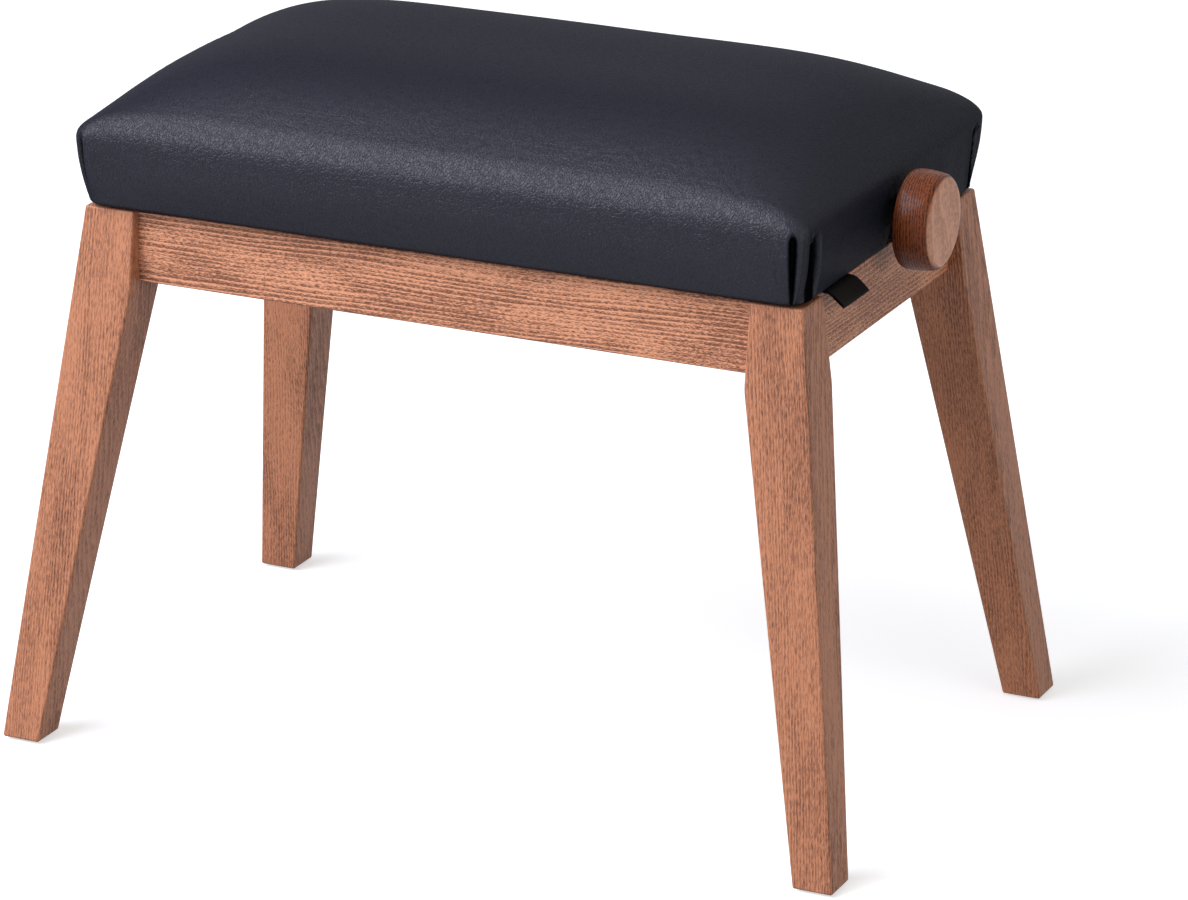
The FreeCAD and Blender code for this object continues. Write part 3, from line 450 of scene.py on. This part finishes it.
def foam_material():
    material, tree, shader = new_material("Seat foam", Specular_IOR_Level=0.2)
    pit = spread(tree, cells(tree, object_place(tree), 900.0), 0.1, 0.6)
    colour = mix_colours(tree, pit, (0.55, 0.50, 0.36), (0.86, 0.81, 0.64))
    surface(tree, shader, colour, times_plus(tree, pit, 0.1, 0.85))
    bump(tree, shader, pit, 0.6, 0.0006)
    return material


def plywood_material():
    """Beech plywood: faces with fine grain, edges with alternate plies."""
    material, tree, shader = new_material("Plywood", Specular_IOR_Level=0.35)
    effect = group_effect(
        tree, grain_group(), object_place(tree, turn=ALONG_X), Light=(0.74, 0.55, 0.34, 1),
        Dark=(0.48, 0.32, 0.17, 1), Ring_size=0.021, Ring_strength=0.25, Pore_strength=0.3,
    )
    plies = maths(tree, "FRACT", maths(tree, "DIVIDE", parted(tree, object_place(tree))["Z"], 0.0034))
    band = spread(tree, plies, 0.45, 0.55)
    facing = parted(tree, add(tree, "ShaderNodeNewGeometry").outputs["Normal"])
    edge = maths(tree, "LESS_THAN", maths(tree, "ABSOLUTE", facing["Z"]), 0.5)
    colour = mix_colours(tree, maths(tree, "MULTIPLY", edge, band), effect.outputs["Color"], (0.36, 0.22, 0.11))
    surface(tree, shader, colour, effect.outputs["Roughness"])
    bump(tree, shader, effect.outputs["Height"], 0.25, 0.0002)
    return material


def give(names, material):
    """Put one finish on every slot of the named frame pieces."""
    for name in names:
        mesh = NODES[name].data
        if not mesh.materials:
            mesh.materials.append(material)
        for index in range(len(mesh.materials)):
            mesh.materials[index] = material


# ---------------------------------------------------------------- seat form
Form = namedtuple("Form", "half_x half_y low edge_z top")
SAME = 1e-6  # places closer together than this are one place
# rows down the side, as shares of its height: the leather's, closer together towards the hem, and the cloth's
SIDE_LEVELS = (*(0.94 - 0.06 * row for row in range(13)), 0.17, 0.12, 0.08, 0.055, 0.036, 0.022, 0.010, 0.0)
CLOTH_LEVELS = [row / 6 for row in range(5, -1, -1)]
PLEAT_REACH = 0.03  # how far from a corner its folds can lie
PLEAT_RISE = 0.010  # height over which a fold opens
PLEAT_TOP = 0.005  # how far above the edge between side and top a long side's fold starts
LIP_SWELL, LIP_PLACE, LIP_WIDTH = 0.0005, 0.0016, 0.0012  # how the leather swells beside a lip
BEAD_DEPTH = 0.0010  # how far the gathered leather falls away towards the end's fold
FRAME_CLEAR = 0.0003  # between a fold's leather and the frame
RIPPLE_TOP, RIPPLE_FADE = 0.004, 0.02  # above that edge, where ripples end, and the height over which they fade
RIPPLE_REACH = 0.035  # how far from a corner the ripples are stronger
RIPPLE_DEPTH, BROAD_DEPTH = 0.0005, 0.0006  # of the ripples, and of the broad unevenness under them
CLOTH = {
    "quality": 5, "mass": 0.4, "tension_stiffness": 30, "compression_stiffness": 30, "shear_stiffness": 15,
    "bending_stiffness": 2, "use_pressure": True, "uniform_pressure_force": 4.0,
}


def held(share):
    return min(max(share, 0.0), 1.0)


def rim_share(inward, reach):
    """Quarter-round rise of the rim, a distance in from the edge."""
    short = 1 - held(inward / reach)
    return math.sqrt(1 - short * short)


def crown_share(inward, reach, fullness):
    """Rise of the crown, a distance in from the edge: quick at first, level at its reach."""
    return 1 - (1 - held(inward / reach)) ** fullness


def top_height(in_x, in_y, edge_z, top, sizes):
    """Height of the padded top, from the distances in from an end and from a long side."""
    rim = rim_share(in_x, sizes.rim_reach_x) * rim_share(in_y, sizes.rim_reach_y)
    crown = crown_share(in_x, sizes.crown_reach_x, sizes.fullness_x)
    crown *= crown_share(in_y, sizes.crown_reach_y, sizes.fullness_y)
    return edge_z + sizes.rim_height * rim + (top - edge_z - sizes.rim_height) * crown


def row_places(half, fine_step, fine_reach, coarse_step):
    """Places of the rows from one edge to the other, close together near both edges."""
    inward, step, places = 0.0, fine_step, []
    while inward < half / 2 and step < coarse_step:
        places.append(half - inward)
        inward += step
        if inward > fine_reach:
            step *= 1.25
    count = math.ceil((half - inward) / coarse_step)
    places += [(half - inward) * (1 - number / count) for number in range(count)]
    return [-place for place in places] + [0.0] + places[::-1]


def seat_sheet(form, levels, fine_step=0.0008, fine_reach=0.032, coarse_step=0.006):
    """Flat sheet with walls pulled down from its rim, in rows that are close together near the corners."""
    rows = [row_places(half, fine_step, fine_reach, coarse_step) for half in form[:2]]
    mesh = bmesh.new()
    bmesh.ops.create_grid(mesh, x_segments=len(rows[0]) - 1, y_segments=len(rows[1]) - 1, size=1.0)
    for vertex in mesh.verts:
        for axis in (0, 1):
            vertex.co[axis] = rows[axis][round((vertex.co[axis] + 1) / 2 * (len(rows[axis]) - 1))]
        vertex.co.z = form.edge_z
    for level in levels:
        z = form.low + (form.edge_z - form.low) * level
        pull_rim(mesh, lambda place: Vector((*place.xy, z)))
    return mesh


def open_rim(mesh):
    return [edge for edge in mesh.edges if edge.is_boundary]


def pull_rim(mesh, move):
    """Extrude the open rim once and move each new point."""
    made = bmesh.ops.extrude_edge_only(mesh, edges=open_rim(mesh))["geom"]
    for vertex in [piece for piece in made if isinstance(piece, bmesh.types.BMVert)]:
        vertex.co = move(vertex.co)


def past_corner(x, y, half_x, half_y, radius):
    """How far a point of a box's plan lies past the start of a rounded corner, along X and along Y."""
    return abs(x) - (half_x - radius), abs(y) - (half_y - radius)


def rounded_plan(x, y, half_x, half_y, radius):
    """A point of the box's plan, moved so that the plan's corners are round."""
    over_x, over_y = past_corner(x, y, half_x, half_y, radius)
    if over_x <= 0 or over_y <= 0:
        return x, y
    a, b = over_x / radius, over_y / radius
    out_x = half_x - radius + a * math.sqrt(max(1 - b * b / 2, 0.0)) * radius
    out_y = half_y - radius + b * math.sqrt(max(1 - a * a / 2, 0.0)) * radius
    return math.copysign(out_x, x), math.copysign(out_y, y)


def notch_lift(y, sizes):
    """How far the right end's bottom edge is lifted over the spindle."""
    share = min(abs(y) / sizes.notch_half, 1.0)
    return sizes.notch_rise * math.sqrt(1 - share**4)


def shape_seat(mesh, form, sizes, tucked=True):
    """Move the sheet's points to the padded form: sides that tuck in, a rounded rim and a crown."""
    half_x, half_y, low, edge_z, top = form
    for vertex in mesh.verts:
        x, y, z = vertex.co
        plan_x, plan_y = rounded_plan(x, y, half_x, half_y, sizes.corner_round)
        if z > edge_z - SAME:
            vertex.co = (plan_x, plan_y, top_height(half_x - abs(x), half_y - abs(y), edge_z, top, sizes))
            continue
        lift = notch_lift(y, sizes) if tucked and x > half_x - SAME else 0.0
        height = low + lift + (z - low) * (1 - lift / (edge_z - low))
        draw = 1 - math.sin((height - low) / (edge_z - low) * math.pi / 2) if tucked else 0.0
        under = max(1 - (z - low) / sizes.hem_round, 0.0)
        turned = sizes.hem_round * (1 - math.sqrt(1 - under * under)) if tucked else 0.0
        vertex.co = (
            plan_x * (1 - (sizes.end_tuck * draw + turned) / half_x),
            plan_y * (1 - (sizes.side_tuck * draw + turned) / half_y),
            height,
        )


def corner_place(x, y, half_x, half_y, radius):
    """Distance along the outline from the middle of the nearest upright corner, less than nought on the long
    side, and the outward direction there."""
    over_x, over_y = past_corner(x, y, half_x, half_y, radius)
    angle = math.atan2(max(over_y, 0.0), max(over_x, SAME))
    along = radius * (math.radians(45) - angle) - min(over_y, 0.0) + min(over_x, 0.0)
    outward = Vector((math.copysign(math.cos(angle), x), math.copysign(math.sin(angle), y), 0))
    return along, outward


def fold_share(along, lips, edge, opened):
    """How far in a fold goes at a place along the outline: 1 between its lips, which part as it opens."""
    middle, half = (lips[0] + lips[1]) / 2, (lips[1] - lips[0]) / 2 * opened
    return (math.tanh((along - middle + half) / edge) - math.tanh((along - middle - half) / edge)) / 2


def frame_distance(x, y):
    """Distance outward from the seat frame's outline, near a corner."""
    over_x, over_y = past_corner(x, y, *FRAME_CORNER, FRAME_ROUND)
    return math.hypot(max(over_x, 0), max(over_y, 0)) + min(max(over_x, over_y), 0) - FRAME_ROUND


def press_pleats(mesh, form, sizes):
    """Two upright folds at each corner, with gathered leather standing between them. The folds stay outside the
    frame, and the layer named fold keeps how far in each point lies."""
    half_x, half_y, _, edge_z, _ = form
    near = sizes.corner_round + PLEAT_REACH
    bead_start, bead_end = sizes.side_pleat[1], sizes.end_pleat[0]
    # The layer named fold also drives the leather's painted shade in the folds.
    layer = mesh.verts.layers.float.new("fold")
    for vertex in mesh.verts:
        x, y, z = vertex.co
        if half_x - abs(x) > near or half_y - abs(y) > near or z > edge_z + PLEAT_TOP:
            continue
        along, outward = corner_place(x, y, half_x, half_y, sizes.corner_round)
        inward = 0.0
        for lips, start in ((sizes.side_pleat, edge_z + PLEAT_TOP), (sizes.end_pleat, edge_z)):
            opened = held((start - z) / PLEAT_RISE)
            opened = opened * opened * (3 - 2 * opened)
            share = opened * fold_share(along, lips, sizes.pleat_edge, 0.3 + 0.7 * opened)
            vertex[layer] = max(vertex[layer], share)
            inward += sizes.pleat_depth * share
            beside = abs(along) - abs(lips[along > 0]) - LIP_PLACE
            inward -= LIP_SWELL * opened * math.exp(-((beside / LIP_WIDTH) ** 2))
            if bead_start < along < bead_end:
                inward += BEAD_DEPTH * opened * (along - bead_start) / (bead_end - bead_start)
        if z < FRAME_TOP + 0.002:
            inward = min(inward, max(frame_distance(x, y) - sizes.thickness - FRAME_CLEAR, 0.0))
        vertex.co -= outward * inward


def ripple(mesh, form, sizes):
    """Slight unevenness of pulled leather: shallow upright ripples on the sides, more of them by the corners."""
    half_x, half_y, low, edge_z, _ = form
    for vertex in mesh.verts:
        x, y, z = vertex.co
        if z > edge_z + RIPPLE_TOP:
            lump = noise_value(Vector((x * 9, y * 9, 7.0)))
            vertex.co.z += BROAD_DEPTH * lump * min((half_x - abs(x)) / 0.05, (half_y - abs(y)) / 0.05, 1.0)
            continue
        along, outward = corner_place(x, y, half_x, half_y, sizes.corner_round)
        closeness = math.exp(-abs(along) / RIPPLE_REACH)
        fade = held((edge_z + RIPPLE_TOP - z) / RIPPLE_FADE)
        lower = 1 - min((z - low) / 0.03, 1.0)
        wave = noise_value(Vector((x * 85, y * 85, z * 14)))
        broad = noise_value(Vector((x * 14, y * 14, z * 9 + 3)))
        pull = RIPPLE_DEPTH * wave * (0.3 + 1.6 * closeness * (0.4 + lower)) + BROAD_DEPTH * broad
        vertex.co += outward * fade * pull


def cloth_shifts(form, sizes):
    """Let the plain form swell as pressed cloth over its fixed hem. Returns its places and how far each one moves,
    held under the set swell."""
    mesh = seat_sheet(form, CLOTH_LEVELS, 0.009, 0.05, 0.012)
    shape_seat(mesh, form, sizes)
    bmesh.ops.recalc_face_normals(mesh, faces=mesh.faces)
    piece = link_mesh("swelling_leather", mesh)
    data, scene = piece.data, bpy.context.scene
    hem = piece.vertex_groups.new(name="hem")
    hem.add([vertex.index for vertex in data.vertices if vertex.co.z < form.low + 0.002], 1.0, "REPLACE")
    settings = piece.modifiers.new("Swell", "CLOTH").settings
    for key, value in CLOTH.items():
        setattr(settings, key, value)
    settings.effector_weights.gravity = 0.0
    settings.vertex_group_mass = "hem"
    for number in range(1, sizes.swell_frames + 1):
        scene.frame_set(number)
    swollen = piece.evaluated_get(bpy.context.evaluated_depsgraph_get())
    moves = [end.co - start.co for end, start in zip(swollen.to_mesh().vertices, data.vertices)]
    swollen.to_mesh_clear()
    scene.frame_set(1)
    places = [vertex.co.copy() for vertex in data.vertices]
    bpy.data.objects.remove(piece)
    bpy.data.meshes.remove(data)
    return places, [move * sizes.swell / (sizes.swell + move.length) for move in moves]


def settle(mesh, plain, shifts):
    """Move every point by the mean shift of the four nearest places of the cloth, nearer ones counting more."""
    tree = KDTree(len(plain))
    for number, place in enumerate(plain):
        tree.insert(place, number)
    tree.balance()
    for vertex in mesh.verts:
        near = [(shifts[number], 1 / (distance + 0.001)) for _, number, distance in tree.find_n(vertex.co, 4)]
        total = sum(weight for _, weight in near)
        vertex.co += sum((shift * weight for shift, weight in near), Vector()) / total


# ---------------------------------------------------------------- pieces
def new_object(name, data):
    made = bpy.data.objects.new(name, data)
    bpy.context.scene.collection.objects.link(made)
    return made


def link_mesh(name, mesh):
    """Object from a bmesh, at the origin."""
    data = bpy.data.meshes.new(name)
    mesh.to_mesh(data)
    mesh.free()
    return new_object(name, data)


def finish_piece(mesh, name, material, body):
    """Smooth object from a bmesh, riding on a body of the frame."""
    bmesh.ops.recalc_face_normals(mesh, faces=mesh.faces)
    piece = link_mesh(name, mesh)
    piece.data.materials.append(material)
    for polygon in piece.data.polygons:
        polygon.use_smooth = True
    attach(piece, body)
    return piece


def thicken(piece, thickness, offset):
    """Give a sheet its two faces."""
    wall = piece.modifiers.new("Thickness", "SOLIDIFY")
    wall.thickness = thickness
    wall.offset = offset


class BENCH_OT_leather_cover(bpy.types.Operator):
    """Model the pulled-on leather cover with its pleated corners and turned-in edge"""

    bl_idname = "bench.leather_cover"
    bl_label = "Leather cover"

    def execute(self, context):
        sizes = context.scene.bench_seat
        half_y, low = COVER_HIGH.y + sizes.side_proud, COVER_LOW.z
        form = Form(COVER_HIGH.x, half_y, low, low + sizes.side_height, COVER_HIGH.z - 1.1 * sizes.swell)
        mesh = seat_sheet(form, SIDE_LEVELS)
        shape_seat(mesh, form, sizes)
        settle(mesh, *cloth_shifts(form, sizes))
        ripple(mesh, form, sizes)
        press_pleats(mesh, form, sizes)
        rows = 3
        inward = Vector((1 - sizes.flap / rows / form.half_x, 1 - sizes.flap / rows / form.half_y, 1))
        for _ in range(rows):
            pull_rim(mesh, lambda place: place * inward)
        piece = finish_piece(mesh, "leather_cover", leather_material(), "seat")
        thicken(piece, sizes.thickness, -1.0)
        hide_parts("seat_cover")
        return {"FINISHED"}


class BENCH_OT_seat_foam(bpy.types.Operator):
    """Model the foam block on the seat board"""

    bl_idname = "bench.seat_foam"
    bl_label = "Seat foam"

    def execute(self, context):
        sizes = context.scene.bench_seat
        inset = 2.5 * sizes.thickness
        edge_z = COVER_LOW.z + sizes.side_height - inset
        form = Form(COVER_HIGH.x - inset, COVER_HIGH.y - inset, FOAM_LOW.z, edge_z, COVER_HIGH.z - inset)
        mesh = seat_sheet(form, (0.5, 0.0), 0.004, 0.05, 0.012)
        shape_seat(mesh, form, sizes, tucked=False)
        for vertex in mesh.verts:
            along, outward = corner_place(*vertex.co.xy, *form[:2], sizes.corner_round)
            vertex.co -= outward * 1.6 * sizes.pleat_depth * math.exp(-(((along - 0.006) / 0.036) ** 4))
        bmesh.ops.edgeloop_fill(mesh, edges=open_rim(mesh))
        piece = finish_piece(mesh, "foam_block", foam_material(), "seat")
        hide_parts("seat_foam")
        return {"FINISHED"}


class BENCH_OT_side_wadding(bpy.types.Operator):
    """Model the wadding strips between the seat frame and the leather, which stop short of the corners"""

    bl_idname = "bench.side_wadding"
    bl_label = "Side wadding"

    def execute(self, context):
        sizes = context.scene.bench_seat
        low, high = WADDING_LOW.z + 0.004, WADDING_HIGH.z - 0.001
        clear = 0.0004  # to the frame
        cuts = 9
        side_stop, end_stop, notch_stop = FRAME_CORNER.x - 0.016, 0.128, 0.016
        mesh = bmesh.new()
        strips = [(hand, 0, -side_stop, side_stop) for hand in (-1, 1)]
        strips += [(-1, 1, -end_stop, end_stop), (1, 1, -end_stop, -notch_stop), (1, 1, notch_stop, end_stop)]
        walls = (
            (FRAME_CORNER.y, COVER_HIGH.y + sizes.side_proud, sizes.side_tuck),
            (FRAME_CORNER.x, COVER_HIGH.x, sizes.end_tuck),
        )
        for hand, wall, start, stop in strips:
            frame_half, cover_half, tuck = walls[wall]
            inner = frame_half + clear
            made = bmesh.ops.create_cube(mesh, size=1.0)["verts"]
            edges = list({edge for vertex in made for edge in vertex.link_edges})
            bmesh.ops.subdivide_edges(mesh, edges=edges, cuts=cuts, use_grid_fill=True)
            for vertex in [vertex for vertex in mesh.verts if not vertex.tag]:
                along, across, height = (vertex.co[axis] + 0.5 for axis in (wall, 1 - wall, 2))
                z = low + (high - low) * height
                level = (z - COVER_LOW.z) / sizes.side_height
                reach = cover_half - 1.6 * sizes.thickness - tuck * (1 - math.sin(level * math.pi / 2))
                fullness = math.sin(math.pi * (0.15 + 0.7 * height))
                fullness *= math.sin(math.pi * (0.04 + 0.92 * along)) ** 0.3
                out = hand * (inner + (reach - inner) * across * min(0.60 + 0.65 * fullness, 1.0))
                run = start + (stop - start) * along
                vertex.co = (out, run, z) if wall else (run, out, z)
                vertex.tag = True
        wadding = speckled_material("Wadding", (0.83, 0.83, 0.80), 380.0, 0.25, (0.85, 0.95), depth=0.0008)
        piece = finish_piece(mesh, "wadding_strips", wadding, "seat")
        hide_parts("seat_wadding")
        return {"FINISHED"}


class BENCH_OT_side_tag(bpy.types.Operator):
    """Model the small folded tag under the right-hand edge"""

    bl_idname = "bench.side_tag"
    bl_label = "Side tag"

    def execute(self, context):
        low, high = TAG_LOW, TAG_HIGH
        thickness = 0.0004
        gap = 0.0011  # between its two halves
        bow = 0.0006
        columns = 10
        width = high.y - low.y
        lean = math.radians(50)
        out = Vector((math.sin(lean), 0, -math.cos(lean)))
        across = Vector((-math.cos(lean), 0, -math.sin(lean)))
        drop = (high.z - low.z - 0.002) / math.cos(lean)
        root = Vector((high.x - drop * math.sin(lean) - 0.001, low.y, high.z - bow))
        hidden = Vector((low.x + 0.001, low.y, high.z - bow))
        profile = [hidden, (hidden + root) / 2, root]
        for share in (0.3, 0.65, 0.93):
            profile.append(root + out * drop * share - across * bow * math.sin(share * math.pi))
        profile.append(profile[-1] + out * drop * 0.07 + across * gap / 2)
        profile += [root + out * drop * share + across * gap for share in (0.93, 0.6, 0.25, 0.0)]
        profile.append(hidden - Vector((0, 0, gap)))
        mesh = bmesh.new()
        verts = [mesh.verts.new(point) for point in profile]
        edges = [mesh.edges.new(pair) for pair in zip(verts, verts[1:])]
        for _ in range(columns):
            made = bmesh.ops.extrude_edge_only(mesh, edges=edges)["geom"]
            fresh = {part for part in made if isinstance(part, bmesh.types.BMVert)}
            bmesh.ops.translate(mesh, vec=(0, width / columns, 0), verts=list(fresh))
            edges = [part for part in made if isinstance(part, bmesh.types.BMEdge) and fresh.issuperset(part.verts)]
        for vertex in mesh.verts:
            share = (vertex.co.y - low.y) / width
            sag = max(high.z - vertex.co.z - 0.002, 0) * 0.10
            vertex.co += across * sag * math.sin(share * math.pi)
        weave = weave_material("Woven tag", (0.007, 0.004, 0.004))
        piece = finish_piece(mesh, "folded_tag", weave, "seat")
        thicken(piece, thickness, 0.0)
        piece.modifiers.new("Smooth", "SUBSURF").render_levels = 1
        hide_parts("side_tag")
        return {"FINISHED"}


class BENCH_OT_legs_and_aprons(bpy.types.Operator):
    """Stain the legs and aprons, each with the grain along its own length"""

    bl_idname = "bench.legs_and_aprons"
    bl_label = "Legs and aprons"

    def execute(self, context):
        wood = context.scene.bench_wood
        for number, (side, end) in enumerate(CORNERS):
            lean_x = (1 if end == "right" else -1) * math.tan(LEG_SPLAY_X)
            lean_y = (1 if side == "rear" else -1) * math.tan(LEG_SPLAY_Y)
            turn = Vector((-lean_x, -lean_y, 1)).rotation_difference(Vector((0, 0, 1))).to_euler()
            shift = (0.13 * number, 0.07 * number, 0.31 * number)
            light, dark = ([tone * c for tone, c in zip(LEG_TONE, shade)] for shade in (wood.light, wood.dark))
            material = wood_material(
                f"Stained leg, {side} {end}", light, dark, turn, shift, (1, 1, 0.5),
                Ring_size=0.0024, Ring_strength=0.22, Pore_strength=0.15, Fleck_strength=0.68,
            )
            give([f"leg_{side}_{end}"], material)
        for number, name in enumerate(SIDES + ENDS):
            turn = ALONG_X if name in SIDES else (math.radians(90), 0, math.radians(90))
            shift = (0.05 + 0.09 * number, 0.04 * number, 0.17 * number)
            material = wood_material(
                f"Stained apron, {name}", wood.light, wood.dark, turn, shift,
                Ring_size=0.0036, Ring_strength=0.42 if name in SIDES else 0.22, Pore_strength=0.5,
            )
            give([f"apron_{name}"], material)
        return {"FINISHED"}


class BENCH_OT_knob(bpy.types.Operator):
    """Polish the turned knob, with its fine rings running round it"""

    bl_idname = "bench.knob"
    bl_label = "Knob"

    def execute(self, context):
        wood = context.scene.bench_wood
        material = wood_material(
            "Polished knob", wood.knob_barrel_shaded_light, wood.knob_barrel_shaded_dark, (0, 0, 0), (0.0022, 0, 0), (1.0, 0.3, 1.0),
            {"Coat_Roughness": 0.16, "Specular_IOR_Level": 0.12},
            Ring_size=0.0021, Ring_strength=0.40, Pore_strength=0.6,
        )
        tree = material.node_tree
        x = parted(tree, object_place(tree))["X"]
        face_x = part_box("knob")[1].x
        edge = (face_x - 0.0016, face_x - 0.0002)
        # The face mask swaps the barrel's painted-shade tones for the lit tones of the face, which is the same wood.
        face = spread(tree, x, *edge)
        effect = next(node for node in tree.nodes if node.type == "GROUP")
        join(tree, mix_colours(tree, face, wood.knob_barrel_shaded_light, wood.knob_face_lit_light), effect.inputs["Light"])
        join(tree, mix_colours(tree, face, wood.knob_barrel_shaded_dark, wood.knob_face_lit_dark), effect.inputs["Dark"])
        join(tree, spread(tree, x, *edge, 0.12, 0.34), tree.nodes["Principled BSDF"].inputs["Coat Weight"])
        give(["knob"], material)
        return {"FINISHED"}


class BENCH_OT_seat_frame(bpy.types.Operator):
    """Finish the hidden wood: seat frame, board, corner blocks and dowels"""

    bl_idname = "bench.seat_frame"
    bl_label = "Seat frame and blocks"

    def execute(self, context):
        light, dark = (0.72, 0.53, 0.33), (0.50, 0.32, 0.17)
        corners = [f"corner_block_{side}_{end}" for side, end in CORNERS]
        for name, nodes, turn in (
            ("Plain beech, long", ["seat_rail_front", "seat_rail_rear", "apron_dowels"], ALONG_X),
            ("Plain beech, short", ["seat_rail_left", "seat_rail_right"], ALONG_Y),
            ("Plain beech, blocks", corners, (math.radians(90), 0, math.radians(45))),
        ):
            material = wood_material(
                name, light, dark, turn, (0.2, 0.1, 0.3), Ring_size=0.006, Ring_strength=0.3, Pore_strength=0.4
            )
            give(nodes, material)
        give(["seat_board"], plywood_material())
        return {"FINISHED"}


class BENCH_OT_lift(bpy.types.Operator):
    """Finish the scissor lift, its spindle and every fastener"""

    bl_idname = "bench.lift"
    bl_label = "Lift and fasteners"

    def execute(self, context):
        arms_and_tracks = ("outer_arm", "inner_arm", "lower_track", "upper_track")
        plates = (*(f"{part}_{side}" for part in arms_and_tracks for side in SIDES), "brackets", "nut_bar")
        steel = tuple("spindle collars screws shaft clips pins rivets staples bolts washers nuts".split())
        bronze = ("spindle_nut", "knob_insert")
        for endings, *look in (
            (plates, "Zinc plate", (0.56, 0.57, 0.56), 45.0, 0.28, (0.26, 0.46), 1.0, 0.00008),
            (steel, "Bright steel", (0.68, 0.68, 0.67), 120.0, 0.18, (0.18, 0.34), 1.0, 0.00005),
            (("_blocks", "_bushes"), "Natural nylon", (0.80, 0.78, 0.71), 200.0, 0.08, (0.42, 0.55)),
            (bronze, "Machined bronze", (0.58, 0.38, 0.16), 160.0, 0.22, (0.22, 0.38), 1.0, 0.00005),
        ):
            give([name for name in NODES if name.endswith(endings)], speckled_material(*look))
        return {"FINISHED"}


class BENCH_OT_glides(bpy.types.Operator):
    """Finish the glides under the feet"""

    bl_idname = "bench.glides"
    bl_label = "Glides"

    def execute(self, context):
        give(["foot_glides"], speckled_material("Glide plastic", (0.07, 0.055, 0.045), 150.0, 0.2, (0.45, 0.62)))
        return {"FINISHED"}


# ---------------------------------------------------------------- stage
def area_light(name, place, target, size, power, colour=(1, 1, 1)):
    data = bpy.data.lights.new(name, "AREA")
    data.size = size
    data.energy = power
    data.color = colour
    light = new_object(name, data)
    light.location = place
    light.rotation_euler = (Vector(target) - Vector(place)).to_track_quat("-Z", "Y").to_euler()


def seen_rays(tree):
    """What the eye sees, straight or through glass, and what the eye or a gloss sees."""
    path = add(tree, "ShaderNodeLightPath")
    straight = maths(tree, "MAXIMUM", path.outputs["Is Camera Ray"], path.outputs["Is Transmission Ray"])
    return straight, maths(tree, "MAXIMUM", straight, path.outputs["Is Glossy Ray"])


def studio_world(strength):
    """White behind the bench and in its gloss; a plain level of light everywhere else."""
    world = bpy.data.worlds.new("Studio")
    world.use_nodes = True
    tree = world.node_tree
    background = tree.nodes["Background"]
    seen = seen_rays(tree)[1]
    join(tree, times_plus(tree, seen, 1.0 - strength, strength), background.inputs["Strength"])
    background.inputs["Color"].default_value = (1, 1, 1, 1)
    bpy.context.scene.world = world


def floor_material(sizes):
    """Pale floor: it keeps shadows, and a glow that only the eye and gloss see lifts it to white where it is lit."""
    material, tree, shader = new_material("Pale floor", Roughness=0.9, Specular_IOR_Level=0.0)
    straight, seen = seen_rays(tree)
    shade = spread(tree, noise(tree, object_place(tree), 3.0), 0.2, 0.8, sizes.floor_seen - 0.004, sizes.floor_seen)
    paler = maths(tree, "SUBTRACT", shade, sizes.floor_bounce)
    tone = times_plus(tree, paler, straight, sizes.floor_bounce)
    join(tree, tone, shader.inputs["Base Color"])
    shader.inputs["Emission Color"].default_value = (1, 1, 1, 1)
    join(tree, maths(tree, "MULTIPLY", seen, sizes.floor_glow), shader.inputs["Emission Strength"])
    return material


class BENCH_OT_stage(bpy.types.Operator):
    """Set the floor, the soft light and the camera"""

    bl_idname = "bench.stage"
    bl_label = "Stage"

    def execute(self, context):
        scene = context.scene
        sizes = scene.bench_stage
        mesh = bmesh.new()
        bmesh.ops.create_grid(mesh, x_segments=2, y_segments=2, size=sizes.floor_size / 2)
        floor = link_mesh("floor", mesh)
        floor.data.materials.append(floor_material(sizes))

        target = (0, 0, 0.30)
        area_light("key", (-2.2, -2.5, 3.2), target, 4.2, sizes.key_power, KEY_COLOUR)
        area_light("fill", (2.9, -1.2, 0.9), target, 2.4, sizes.fill_power)
        studio_world(sizes.world_level)

        camera = new_object("camera", bpy.data.cameras.new("camera"))
        camera.data.lens = CAMERA_FOCAL
        camera.location = CAMERA_PLACE
        turn, tilt = math.radians(CAMERA_TURN), math.radians(CAMERA_TILT)
        ahead = Vector((-math.sin(turn) * math.cos(tilt), math.cos(turn) * math.cos(tilt), -math.sin(tilt)))
        camera.rotation_euler = ahead.to_track_quat("-Z", "Y").to_euler()
        scene.camera = camera
        scene.view_settings.view_transform = "Standard"
        return {"FINISHED"}


# ---------------------------------------------------------------- panel and registration
STEPS = (
    BENCH_OT_stage,
    BENCH_OT_leather_cover,
    BENCH_OT_seat_foam,
    BENCH_OT_side_wadding,
    BENCH_OT_side_tag,
    BENCH_OT_legs_and_aprons,
    BENCH_OT_knob,
    BENCH_OT_seat_frame,
    BENCH_OT_lift,
    BENCH_OT_glides,
)


class BENCH_PT_panel(bpy.types.Panel):
    """Lists the pieces of the bench"""

    bl_label = "Piano Bench"
    bl_space_type = "VIEW_3D"
    bl_region_type = "UI"
    bl_category = "Piano Bench"

    def draw(self, context):
        for step in STEPS:
            self.layout.operator(step.bl_idname)


SETTINGS = {
    "bench_seat": SeatSizes,
    "bench_wood": WoodColours,
    "bench_leather": LeatherColours,
    "bench_stage": StageSizes,
}


def register():
    for name, group in SETTINGS.items():
        bpy.utils.register_class(group)
        setattr(bpy.types.Scene, name, PointerProperty(type=group))
    for step in STEPS:
        bpy.utils.register_class(step)
    bpy.utils.register_class(BENCH_PT_panel)


def unregister():
    bpy.utils.unregister_class(BENCH_PT_panel)
    for step in reversed(STEPS):
        bpy.utils.unregister_class(step)
    for name, group in SETTINGS.items():
        delattr(bpy.types.Scene, name)
        bpy.utils.unregister_class(group)


def main():
    register()
    for step in STEPS:
        group, action = step.bl_idname.split(".")
        getattr(getattr(bpy.ops, group), action)()


if __name__ == "__main__":
    main()
